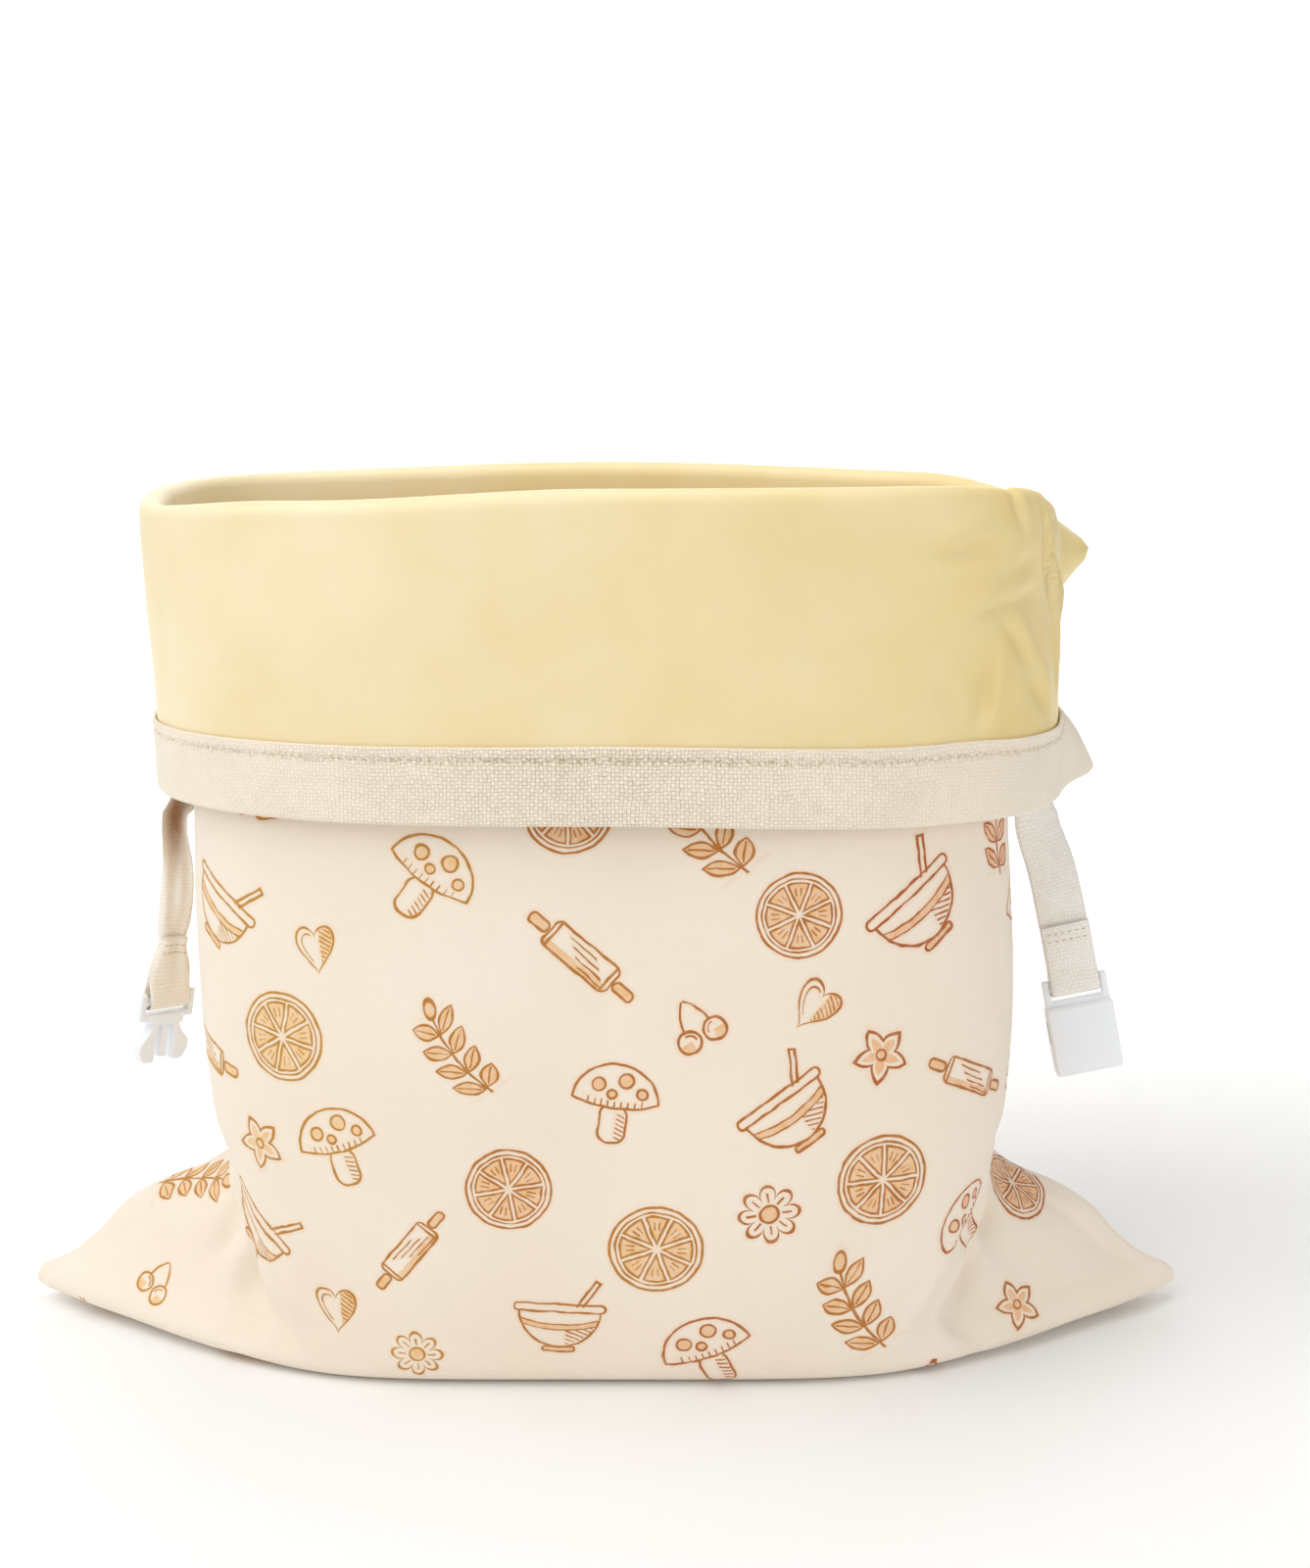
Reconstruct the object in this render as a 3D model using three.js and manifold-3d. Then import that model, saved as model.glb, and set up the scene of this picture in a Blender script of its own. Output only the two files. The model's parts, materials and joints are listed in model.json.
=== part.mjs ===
// A cloth bread bag that stands open, its waxed lining turned out over the rim as a deep cuff.
// Millimetres, +Z up, +X to the bag's right, -Y to its front. The origin is the middle of the base.
import * as THREE from "three";
import { mergeVertices } from "three/addons/utils/BufferGeometryUtils.js";
import Module from "manifold-3d";

const wasm = await Module();
wasm.setup();

// Thicknesses of the layers, and the gap left between two pieces that lie on each other
const PRINTED = 1.2;
const LINING = 1.0;
const TAPE = 1.0;
const WEBBING = 1.5;
const GAP = 0.35;
const LINING_FACE = PRINTED + GAP;
const CUFF_FACE = LINING_FACE + LINING;

// The bag: points round it, the rim, the cuff's lower edge and the binding tape
const ROUND = 48;
const RIM = 273;
const FOLD_STEPS = 4;
const EDGE = 182.7;
const TAPE_DEPTH = 22;
const TIP_BACK = 6;
const BASE_RING = 0.58;
const SHARPEST = 0.42;

// Straps and the two halves of the buckle
const STRAP_WIDTH = 16;
const SEAT_HOLLOW = 1.4;
const SEAT_ABOVE = 1.5;
const SEAT_BELOW = 8;
const BAR_RADIUS = 1.4;
const LOOP_BACK = 19;
const BUCKLE_HALF = 10.6;

// Turns rows of numbers into objects with the named columns.
function table(columns, rows) {
  const names = columns.split(" ");
  return rows.map((row) => Object.fromEntries(names.map((name, i) => [name, row[i]])));
}

// The printed face of the wall, from the table up. Reach of each side from the axis, squareness of the
// corners, how far the bottom corners stick out as ears, and half the width of an ear at its root.
const WALL = table("z left right front back corner earLeft earRight root", [
  [0, 98, 100, 56, 55, 5.4, 80, 78, 55],
  [2.2, 102, 104, 60, 59, 5.0, 84, 82, 57],
  [8, 104.5, 107, 63.5, 62.5, 4.6, 85.5, 83, 57],
  [16, 106, 109, 66.5, 65.5, 4.3, 72.5, 70, 54],
  [25, 108, 111.5, 69, 68, 4.0, 61, 58, 50],
  [34, 110.5, 114.5, 71, 70, 3.8, 49.5, 46, 45],
  [42, 113.5, 117.5, 72.5, 71.5, 3.6, 35, 31.5, 40],
  [50, 117, 121, 73.5, 72.5, 3.4, 13.5, 11, 33],
  [61, 120, 124, 74.5, 73.5, 3.2, 0, 0, 30],
  [80, 126, 129, 75.5, 74.5, 3.0, 0, 0, 30],
  [112, 129, 131, 76, 75, 2.9, 0, 0, 30],
  [150, 129.8, 129, 75.5, 75, 2.9, 0, 0, 30],
  [185, 129, 127, 75, 74.5, 2.9, 0, 0, 30],
  [230, 132, 130, 74, 73.5, 2.85, 0, 0, 30],
  [RIM, 137, 134, 73, 72.5, 2.85, 0, 0, 30],
]);

// The printed face inside the cuff, from the rim down. The ears are the pinched side seam on the right.
const CUFF = table("z left right front back corner earLeft earRight root", [
  [RIM, 139.8, 138, 77.4, 77, 2.75, 0, 1, 16],
  [263, 139.8, 138.8, 78.4, 77.8, 2.7, 0, 9, 17],
  [250, 139.4, 139.2, 79.4, 78.8, 2.65, 0, 3, 16],
  [228, 138.2, 139.8, 80.4, 79.8, 2.6, 0, 0, 16],
  [EDGE + TAPE_DEPTH, 137.2, 140.2, 80.8, 80.4, 2.6, 0, 0, 30],
  [EDGE + TAPE_DEPTH / 2, 136.9, 140.8, 80.8, 80.4, 2.6, 0, 5, 30],
  [EDGE, 136.6, 140.8, 80.6, 80.2, 2.6, 0, 8, 30],
]);

// How the rim and the cuff's lower edge rise and fall round the bag. 0 degrees is the right, 270 the front.
const RISE = table("angle rim edge", [
  [0, -8, -3],
  [45, -3, -2],
  [90, -1, 0],
  [135, -3, -1],
  [180, -4, -2],
  [206, -7, -1.5],
  [236, -4, -0.3],
  [270, -0.5, 0.8],
  [312, 0, -0.5],
  [338, -3, -3],
]);

// Soft folds pressed into the cloth: where, how wide and tall, and how deep. Negative ones swell outwards.
const FOLDS = table("side angle z spread tall depth", [
  ["wall", 270, 140, 6, 45, 1.4],
  ["wall", 246, 105, 12, 40, -1.6],
  ["wall", 292, 75, 14, 36, -1.4],
  ["wall", 232, 34, 9, 24, 2.4],
  ["wall", 308, 34, 9, 24, 2.4],
  ["wall", 128, 40, 10, 28, 2.2],
  ["wall", 52, 40, 10, 28, 2.2],
  ["wall", 90, 120, 16, 60, 1.8],
  ["cuff", 300, 236, 8, 15, 1.9],
  ["cuff", 315, 216, 8, 13, 1.6],
  ["cuff", 330, 245, 7, 12, 1.8],
  ["cuff", 240, 240, 14, 22, -1.2],
  ["cuff", 100, 232, 14, 20, 1.4],
  ["cuff", 160, 220, 12, 18, -1.3],
]);

// Centre lines of the straps below their sewn ends, and the way the webbing faces. Turned 0 degrees it lies
// flat against the bag's side, turned 90 degrees it faces the front.
const STRAP_LEFT = table("x y z turn", [
  [-134.2, -1, 169, 14],
  [-138.2, -1.5, 150, 30],
  [-140.4, -1.5, 127, 42],
  [-142.4, -1, 106.4, 48],
]);
const STRAP_RIGHT = table("x y z turn", [
  [138.8, -1, 169, 66],
  [144.3, -1.5, 150, 82],
  [149.2, -1.5, 130, 90],
  [153, -1.5, 111.4, 90],
]);

// Finishes
const materials = {
  printed: new THREE.MeshStandardMaterial({ color: "#f6e6d2", roughness: 0.85, metalness: 0 }),
  waxed: new THREE.MeshStandardMaterial({ color: "#f3e2a6", roughness: 0.5, metalness: 0 }),
  tape: new THREE.MeshStandardMaterial({ color: "#e6dbc8", roughness: 0.95, metalness: 0 }),
  webbing: new THREE.MeshStandardMaterial({ color: "#d9cfbc", roughness: 0.9, metalness: 0 }),
  plastic: new THREE.MeshStandardMaterial({ color: "#f1f3f5", roughness: 0.35, metalness: 0 }),
};

const bag = new THREE.Group();

// A closed body from points and triangles, turned to face out, as a named mesh in the bag.
function addSolid(name, points, triangles, material) {
  const volume = triangles.reduce((sum, [a, b, c]) => {
    const across = new THREE.Vector3().crossVectors(points[b], points[c]);
    return sum + points[a].dot(across);
  }, 0);
  const facing = volume < 0 ? triangles.map(([a, b, c]) => [a, c, b]) : triangles;
  const geometry = new THREE.BufferGeometry().setFromPoints(points);
  geometry.setIndex(facing.flat());
  geometry.computeVertexNormals();
  const mesh = new THREE.Mesh(geometry, material);
  mesh.name = name;
  bag.add(mesh);
  return mesh;
}

// Triangles of a grid whose row i starts at point first + i * across. A row that leans back has the other
// diagonal, so that cloth built upwards lies true on cloth built downwards.
function gridTriangles(rows, across, closed, first = 0, leansBack = () => false) {
  const triangles = [];
  for (let i = 0; i + 1 < rows; i += 1) {
    for (let j = 0; j < (closed ? across : across - 1); j += 1) {
      const a = first + i * across + j;
      const b = first + i * across + ((j + 1) % across);
      const back = [[a, b, a + across], [b, b + across, a + across]];
      const forth = [[a, b, b + across], [a, b + across, a + across]];
      triangles.push(...(leansBack(i) ? back : forth));
    }
  }
  return triangles;
}

// Outward normals of a sheet, one for each point, longer where the sheet turns sharply, so that an offset
// along them keeps its depth on both sides of a crease.
function normalsOf(points, triangles) {
  const geometry = new THREE.BufferGeometry().setFromPoints(points);
  geometry.setIndex(triangles.flat());
  geometry.computeVertexNormals();
  const normal = geometry.getAttribute("normal");
  const normals = points.map((_, i) => new THREE.Vector3().fromBufferAttribute(normal, i));
  const flattest = points.map(() => 1);
  for (const corners of triangles) {
    const [a, b, c] = corners.map((i) => points[i]);
    const facing = new THREE.Triangle(a, b, c).getNormal(new THREE.Vector3());
    for (const i of corners) flattest[i] = Math.min(flattest[i], facing.dot(normals[i]));
  }
  return normals.map((n, i) => n.divideScalar(Math.max(flattest[i], SHARPEST)));
}

// The triangles' edges that no other triangle runs back along.
function openEdges(triangles) {
  const edges = triangles.flatMap(([a, b, c]) => [[a, b], [b, c], [c, a]]);
  const seen = new Set(edges.map(([a, b]) => `${a},${b}`));
  return edges.filter(([a, b]) => !seen.has(`${b},${a}`));
}

// A sheet given thickness: a face at depth near behind the points, one at depth far, and walls at its edges.
function thicken(sheet, near, far) {
  const { points, triangles, normals } = sheet;
  const n = points.length;
  const face = (depth) => points.map((p, i) => p.clone().addScaledVector(normals[i], -depth));
  const walls = openEdges(triangles).flatMap(([a, b]) => [[b, a, a + n], [b, a + n, b + n]]);
  const back = triangles.map(([a, b, c]) => [a + n, c + n, b + n]);
  return { points: [...face(near), ...face(far)], triangles: [...triangles, ...back, ...walls] };
}

// Height change of the rim or the cuff's edge at an angle in degrees, eased between the rows of RISE.
function riseAt(angle, column) {
  const next = RISE.findIndex((row) => row.angle > angle);
  const high = RISE[next < 0 ? 0 : next];
  const low = RISE[(next < 0 ? RISE.length : next) - 1];
  const span = (high.angle - low.angle + 360) % 360;
  const share = (angle - low.angle) / span;
  return THREE.MathUtils.lerp(low[column], high[column], THREE.MathUtils.smoothstep(share, 0, 1));
}

// How deep the soft folds press the cloth at an angle in degrees and a height.
function foldDepth(side, angle, z) {
  return FOLDS.filter((fold) => fold.side === side).reduce((depth, fold) => {
    const away = Math.abs(((angle - fold.angle + 540) % 360) - 180) / fold.spread;
    const above = (z - fold.z) / fold.tall;
    return depth + fold.depth * Math.exp(-away * away - above * above);
  }, 0);
}

// One point of the bag's printed face: a rounded oblong with its folds, ears, and risen or sunk rim.
function clothPoint(side, row, angle) {
  const c = Math.cos(THREE.MathUtils.degToRad(angle));
  const s = Math.sin(THREE.MathUtils.degToRad(angle));
  const reach = (Math.abs(c) ** row.corner + Math.abs(s) ** row.corner) ** (-1 / row.corner);
  const sideways = (c < 0 ? row.left : row.right) * c * reach;
  const depthways = (s < 0 ? row.front : row.back) * s * reach;
  const inEar = Math.max(0, 1 - Math.abs(depthways) / row.root);
  const swell = side === "cuff" ? THREE.MathUtils.smoothstep(inEar, 0, 1) : inEar;
  const ear = (c < 0 ? -row.earLeft : row.earRight) * swell;
  const fold = row.z > 0 ? foldDepth(side, angle, row.z) : 0;
  const inward = new THREE.Vector2(-sideways / row.left, -depthways / row.front).normalize();
  const upWall = THREE.MathUtils.smoothstep(row.z, EDGE, RIM);
  const edge = side === "cuff" ? riseAt(angle, "edge") * (1 - upWall) : 0;
  return new THREE.Vector3(
    sideways + ear + inward.x * fold,
    depthways + (Math.abs(ear) / WALL[2].earLeft) * TIP_BACK + inward.y * fold,
    row.z + riseAt(angle, "rim") * upWall + edge,
  );
}

// The printed face as one sheet: base, wall, the turn over the rim and the inside of the cuff.
function clothSheet() {
  const angles = Array.from({ length: ROUND }, (_, j) => (360 * j) / ROUND);
  const wall = WALL.map((row) => angles.map((angle) => clothPoint("wall", row, angle)));
  const cuff = CUFF.map((row) => angles.map((angle) => clothPoint("cuff", row, angle)));
  const base = wall[0].map((p) => p.clone().multiplyScalar(BASE_RING));
  const top = wall[wall.length - 1];
  const turn = Array.from({ length: FOLD_STEPS - 1 }, (_, k) => {
    const bend = (Math.PI * (k + 1)) / FOLD_STEPS;
    return top.map((p, j) => {
      const point = p.clone().lerp(cuff[0][j], (1 - Math.cos(bend)) / 2);
      point.z += (p.distanceTo(cuff[0][j]) / 2) * Math.sin(bend);
      return point;
    });
  });
  const rows = [base, ...wall, ...turn, ...cuff];
  const points = [new THREE.Vector3(), ...rows.flat()];
  const middle = angles.map((_, j) => [0, 1 + ((j + 1) % ROUND), 1 + j]);
  const triangles = [...middle, ...gridTriangles(rows.length, ROUND, true, 1)];
  const normals = normalsOf(points, triangles);
  return { points, triangles, normals, rowStart: (i) => 1 + (rows.length + i) * ROUND };
}

// The binding tape: a fold of tape round both layers at the cuff's lower edge.
function bindingTape(sheet) {
  const onCuff = (back, depth, down) => {
    const start = sheet.rowStart(-back);
    const last = sheet.rowStart(-1);
    const points = Array.from({ length: ROUND }, (_, j) => {
      const hang = sheet.points[last + j].clone().sub(sheet.points[last + j - ROUND]).normalize();
      const point = sheet.points[start + j].clone().addScaledVector(sheet.normals[start + j], -depth);
      return point.addScaledVector(hang, down);
    });
    return { back, points };
  };
  const outer = CUFF_FACE + GAP + TAPE;
  const inner = -GAP - TAPE;
  const section = [
    onCuff(3, outer, 0),
    onCuff(2, outer, 0),
    onCuff(1, outer, GAP),
    onCuff(1, outer - TAPE, GAP + TAPE),
    onCuff(1, -GAP, GAP + TAPE),
    onCuff(1, inner, GAP),
    onCuff(2, inner, 0),
    onCuff(2, -GAP, 0),
    onCuff(1, -GAP, GAP),
    onCuff(1, CUFF_FACE + GAP, GAP),
    onCuff(2, CUFF_FACE + GAP, 0),
    onCuff(3, CUFF_FACE + GAP, 0),
  ];
  const points = section.flatMap((row) => row.points);
  const upwards = (i) => section[(i + 1) % section.length].back > section[i].back;
  const triangles = gridTriangles(section.length + 1, ROUND, true, 0, upwards);
  return { points, triangles: triangles.map((t) => t.map((i) => i % points.length)) };
}

// Where a strap is sewn on: just inside the tape, on the side seam at column j of the cloth.
function strapSeat(sheet, j) {
  const i = sheet.rowStart(-2) + j;
  const depth = GAP + TAPE + GAP + WEBBING / 2 + SEAT_HOLLOW;
  return sheet.points[i].clone().addScaledVector(sheet.normals[i], depth);
}

// The strap's frame at a share of its centre line: the point, the way down, across and out of its face.
function strapFrame(curve, turns, share) {
  const along = curve.getTangent(share);
  const place = share * (turns.length - 1);
  const i = Math.min(Math.floor(place), turns.length - 2);
  const turn = THREE.MathUtils.degToRad(THREE.MathUtils.lerp(turns[i], turns[i + 1], place - i));
  const across = new THREE.Vector3(Math.sin(turn), Math.cos(turn), 0);
  across.addScaledVector(along, -across.dot(along)).normalize();
  const out = new THREE.Vector3().crossVectors(across, along);
  if (out.y > 0) out.negate();
  return { point: curve.getPoint(share), along, across, out };
}

// A strap: down from its seat, round the buckle's bar and a short way back up its front face.
function strap(name, seat, stations) {
  const upper = seat.clone().add(new THREE.Vector3(0, 0, SEAT_ABOVE));
  const lower = seat.clone().add(new THREE.Vector3(0, 0, -SEAT_BELOW));
  const path = [upper, lower, ...stations.map(({ x, y, z }) => new THREE.Vector3(x, y, z))];
  const curve = new THREE.CatmullRomCurve3(path);
  const turns = [0, 0, ...stations.map(({ turn }) => turn)];
  const bend = BAR_RADIUS + GAP + WEBBING / 2;
  const length = curve.getLength();
  const rows = [];
  const addRow = (share, away, down) => {
    const { point, along, across, out } = strapFrame(curve, turns, share);
    const middle = point.clone().addScaledVector(out, away).addScaledVector(along, down);
    rows.push([-1, 0, 1].map((k) => middle.clone().addScaledVector(across, (k * STRAP_WIDTH) / 2)));
  };
  const STEPS = 18;
  const flare = (share) => bend * THREE.MathUtils.smoothstep(share * length, length - LOOP_BACK / 2, length);
  const layer = (WEBBING + GAP) / 2;
  for (let k = 0; k <= STEPS; k += 1) {
    const share = k / STEPS;
    const doubled = layer * THREE.MathUtils.smoothstep(share * length, length - 1.6 * LOOP_BACK, length - LOOP_BACK);
    addRow(share, -Math.max(doubled, flare(share)), 0);
  }
  for (let k = 1; k < 6; k += 1) {
    const around = (Math.PI * k) / 6;
    addRow(1, -bend * Math.cos(around), bend * Math.sin(around));
  }
  const BACK_STEPS = 5;
  for (let k = 0; k <= BACK_STEPS; k += 1) {
    const share = 1 - (k / BACK_STEPS) * (LOOP_BACK / length);
    addRow(share, Math.max(layer, flare(share)), 0);
  }
  const points = rows.flat();
  const triangles = gridTriangles(rows.length, 3, false);
  const sheet = { points, triangles, normals: normalsOf(points, triangles) };
  const solid = thicken(sheet, -WEBBING / 2, WEBBING / 2);
  addSolid(name, solid.points, solid.triangles, materials.webbing);
  return strapFrame(curve, turns, 1);
}

// A geometry as a solid that can be joined and cut, and back again.
function toSolid(geometry) {
  const bare = geometry.clone();
  bare.deleteAttribute("normal");
  bare.deleteAttribute("uv");
  const merged = mergeVertices(bare, 1e-4);
  const vertProperties = new Float32Array(merged.getAttribute("position").array);
  const triVerts = new Uint32Array(merged.getIndex().array);
  return new wasm.Manifold(new wasm.Mesh({ numProp: 3, vertProperties, triVerts }));
}
function toGeometry(solid) {
  const { vertProperties, triVerts } = solid.getMesh();
  const geometry = new THREE.BufferGeometry();
  geometry.setAttribute("position", new THREE.BufferAttribute(vertProperties, 3));
  geometry.setIndex(new THREE.BufferAttribute(triVerts, 1));
  geometry.computeVertexNormals();
  return geometry;
}

// A block about a middle point, and a plate of an outline in the buckle's face, its edges eased.
function block(wide, long, thick, x, y, z = 0) {
  return toSolid(new THREE.BoxGeometry(wide, long, thick).translate(x, y, z));
}
function plate(outline, thick, ease) {
  const bevel = { bevelThickness: ease, bevelSize: ease, bevelOffset: -ease, bevelSegments: 2 };
  const options = { depth: thick - 2 * ease, curveSegments: 5, ...bevel };
  return toSolid(new THREE.ExtrudeGeometry(outline, options).translate(0, 0, ease - thick / 2));
}
function roundedOutline(half, top, bottom, radius) {
  const outline = new THREE.Shape();
  outline.moveTo(-half, bottom + radius);
  outline.lineTo(-half, top - radius);
  outline.quadraticCurveTo(-half, top, -half + radius, top);
  outline.lineTo(half - radius, top);
  outline.quadraticCurveTo(half, top, half, top - radius);
  outline.lineTo(half, bottom + radius);
  outline.quadraticCurveTo(half, bottom, half - radius, bottom);
  outline.lineTo(-half + radius, bottom);
  outline.quadraticCurveTo(-half, bottom, -half, bottom + radius);
  return outline;
}

// Both halves hang from a bar at their origin, +Y up the strap, +X across it, +Z out of its face.
const SLOT_HALF = STRAP_WIDTH / 2 + GAP;
const SLOT_BELOW = BAR_RADIUS + WEBBING + 3 * GAP;
const RAIL_THICK = 3;
const RAIL_TOP = 3.2;

// The bar between its two rails, open above for the webbing.
function barFrame(bottom) {
  const frame = plate(roundedOutline(BUCKLE_HALF, RAIL_TOP, bottom, 2.4), RAIL_THICK, 0.6);
  const tall = RAIL_TOP + 1 + SLOT_BELOW;
  const slot = block(2 * SLOT_HALF, tall, 9, 0, tall / 2 - SLOT_BELOW);
  const bar = new THREE.CylinderGeometry(BAR_RADIUS, BAR_RADIUS, 2 * BUCKLE_HALF - 2, 12);
  return frame.subtract(slot).add(toSolid(bar.rotateZ(Math.PI / 2)));
}

// One prong: it leaves the bridge near the middle, swings out to a barbed shoulder and ends blunt.
function prong(side) {
  const outline = new THREE.Shape();
  outline.moveTo(2.6, -6);
  outline.lineTo(5.4, -6);
  outline.quadraticCurveTo(5.2, -9.5, 7.4, -11.5);
  outline.quadraticCurveTo(10.4, -13, 10.2, -16.4);
  outline.quadraticCurveTo(9.8, -19.6, 7, -20.4);
  outline.lineTo(3.8, -20.8);
  outline.quadraticCurveTo(4.4, -16, 3.2, -12.5);
  outline.quadraticCurveTo(2.6, -9.5, 2.6, -6);
  const solid = plate(outline, 4.2, 0.6);
  return side > 0 ? solid : solid.mirror([1, 0, 0]);
}

function prongHalf() {
  const bridge = plate(roundedOutline(6.6, -SLOT_BELOW, -8, 1.4), 4.2, 0.6);
  const guide = plate(roundedOutline(1.5, -6, -19.4, 1.2), 3.2, 0.5);
  return barFrame(-SLOT_BELOW - 2.2).add(bridge).add(guide).add(prong(1)).add(prong(-1));
}

// The socket half: a flat case, open below, with a release window in each edge.
const CASE_TOP = -SLOT_BELOW - 1.6;
const CASE_BOTTOM = -29;
const CASE_THICK = 7.8;
const SOCKET_HALF = 8.2;
const SOCKET_THICK = 5;
function socketHalf() {
  const shell = plate(roundedOutline(BUCKLE_HALF + 0.4, CASE_TOP, CASE_BOTTOM, 2), CASE_THICK, 1.1);
  const deep = CASE_TOP - CASE_BOTTOM - 2.4;
  const socket = block(2 * SOCKET_HALF, deep, SOCKET_THICK, 0, CASE_BOTTOM + deep / 2 - 0.01);
  const window = block(40, 8, SOCKET_THICK - 0.6, 0, CASE_TOP - 9);
  return barFrame(CASE_TOP - 2).add(shell).subtract(socket).subtract(window);
}

// A half of the buckle hung at the end of its strap.
function addBuckle(name, solid, frame) {
  const mesh = new THREE.Mesh(toGeometry(solid), materials.plastic);
  const up = frame.along.clone().negate();
  const across = new THREE.Vector3().crossVectors(up, frame.out);
  mesh.name = name;
  mesh.setRotationFromMatrix(new THREE.Matrix4().makeBasis(across, up, frame.out));
  mesh.position.copy(frame.point);
  bag.add(mesh);
}

const sheet = clothSheet();
const printed = thicken(sheet, 0, PRINTED);
const lining = thicken(sheet, LINING_FACE, CUFF_FACE);
const tape = bindingTape(sheet);
addSolid("printed_cloth", printed.points, printed.triangles, materials.printed);
addSolid("waxed_lining", lining.points, lining.triangles, materials.waxed);
addSolid("hem_band", tape.points, tape.triangles, materials.tape);
const leftEnd = strap("strap_left", strapSeat(sheet, ROUND / 2), STRAP_LEFT);
const rightEnd = strap("strap_right", strapSeat(sheet, 0), STRAP_RIGHT);
addBuckle("buckle_prong", prongHalf(), leftEnd);
addBuckle("buckle_socket", socketHalf(), rightEnd);

export default bag;
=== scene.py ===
"""A cloth bread bag that stands open, its waxed lining turned out over the rim as a deep cuff.

Metres, +Z up, +X to the bag's right, -Y to its front. The cloth's own sizes are in millimetres, in the
tables of BagShape, and are turned to metres where a mesh is made.
"""

import ast
import json
import logging
import math
import operator
import random
from dataclasses import dataclass, field, replace
from enum import Enum

import bpy
import numpy as np
from bpy.types import Material, Modifier, Node, NodeSocket, NodeTree, Object
from mathutils import Matrix, Vector

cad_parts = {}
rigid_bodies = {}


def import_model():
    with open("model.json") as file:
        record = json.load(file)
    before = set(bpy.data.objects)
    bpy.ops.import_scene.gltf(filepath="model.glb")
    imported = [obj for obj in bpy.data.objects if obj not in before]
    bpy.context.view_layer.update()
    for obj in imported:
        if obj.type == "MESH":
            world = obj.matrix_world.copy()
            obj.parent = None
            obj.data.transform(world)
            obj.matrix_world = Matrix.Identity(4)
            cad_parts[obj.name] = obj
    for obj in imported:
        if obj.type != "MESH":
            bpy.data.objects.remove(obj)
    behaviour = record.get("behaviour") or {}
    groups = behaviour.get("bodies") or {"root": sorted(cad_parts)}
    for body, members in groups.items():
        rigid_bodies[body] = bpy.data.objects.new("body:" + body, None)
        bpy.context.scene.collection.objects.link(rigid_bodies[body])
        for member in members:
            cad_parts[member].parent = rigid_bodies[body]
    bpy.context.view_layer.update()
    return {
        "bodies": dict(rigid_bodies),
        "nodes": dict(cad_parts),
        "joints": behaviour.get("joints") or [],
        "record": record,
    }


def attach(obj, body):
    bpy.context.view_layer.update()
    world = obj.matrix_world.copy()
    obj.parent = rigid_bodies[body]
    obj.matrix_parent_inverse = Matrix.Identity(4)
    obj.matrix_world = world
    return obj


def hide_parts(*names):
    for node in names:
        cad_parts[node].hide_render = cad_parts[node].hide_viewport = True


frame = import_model()

Array = np.ndarray
LOG = logging.getLogger("bread_bag")
MM = 0.001
BODY = "root"

# A length too small to divide by, and a distance beyond anything on the bag, in millimetres
TINY = 1e-12
FAR = 1e6

# Thickness of each layer and the gap between two layers, in millimetres
PRINTED = 1.2
LINING = 1.0
TAPE = 1.0
WEBBING = 1.5
GAP = 0.35
LINING_FACE = PRINTED + GAP
CUFF_FACE = LINING_FACE + LINING
TAPE_FACE = CUFF_FACE + GAP

# Heights of the rim and the cuff's lower edge, the tape's depth outside and inside the cuff, the webbing's
# width and the radius of the bars that it goes round, in millimetres
RIM = 273.0
EDGE = 182.7
TAPE_DEPTH = 22.0
TAPE_INSIDE = 11.0
STRAP_WIDTH = 16.0
BAR_RADIUS = 1.4


class Side(Enum):
    """The two stretches of the cloth that stand upright."""

    WALL = "wall"
    CUFF = "cuff"


@dataclass(frozen=True)
class Ring:
    """One level of the printed face, in millimetres: how far it reaches to each side of the axis, how
    square its corners are, how far its ears stick out and half their width at the root."""

    z: float
    left: float
    right: float
    front: float
    back: float
    corner: float
    ear_left: float
    ear_right: float
    root: float


@dataclass(frozen=True)
class Rise:
    """How far the rim and the cuff's lower edge lie above their level at an angle round the bag."""

    angle: float
    rim: float
    edge: float


@dataclass(frozen=True)
class Fold:
    """A broad soft fold: its place, how wide in degrees, how tall and how deep in millimetres."""

    side: Side
    angle: float
    z: float
    spread: float
    tall: float
    depth: float

    def press(self, angle: Array, z: Array) -> Array:
        """How deep it presses the cloth in at each angle and height, in millimetres."""
        away = (np.mod(angle - self.angle + 180, 360) - 180) / self.spread
        return self.depth * np.exp(-away * away - ((z - self.z) / self.tall) ** 2)


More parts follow.
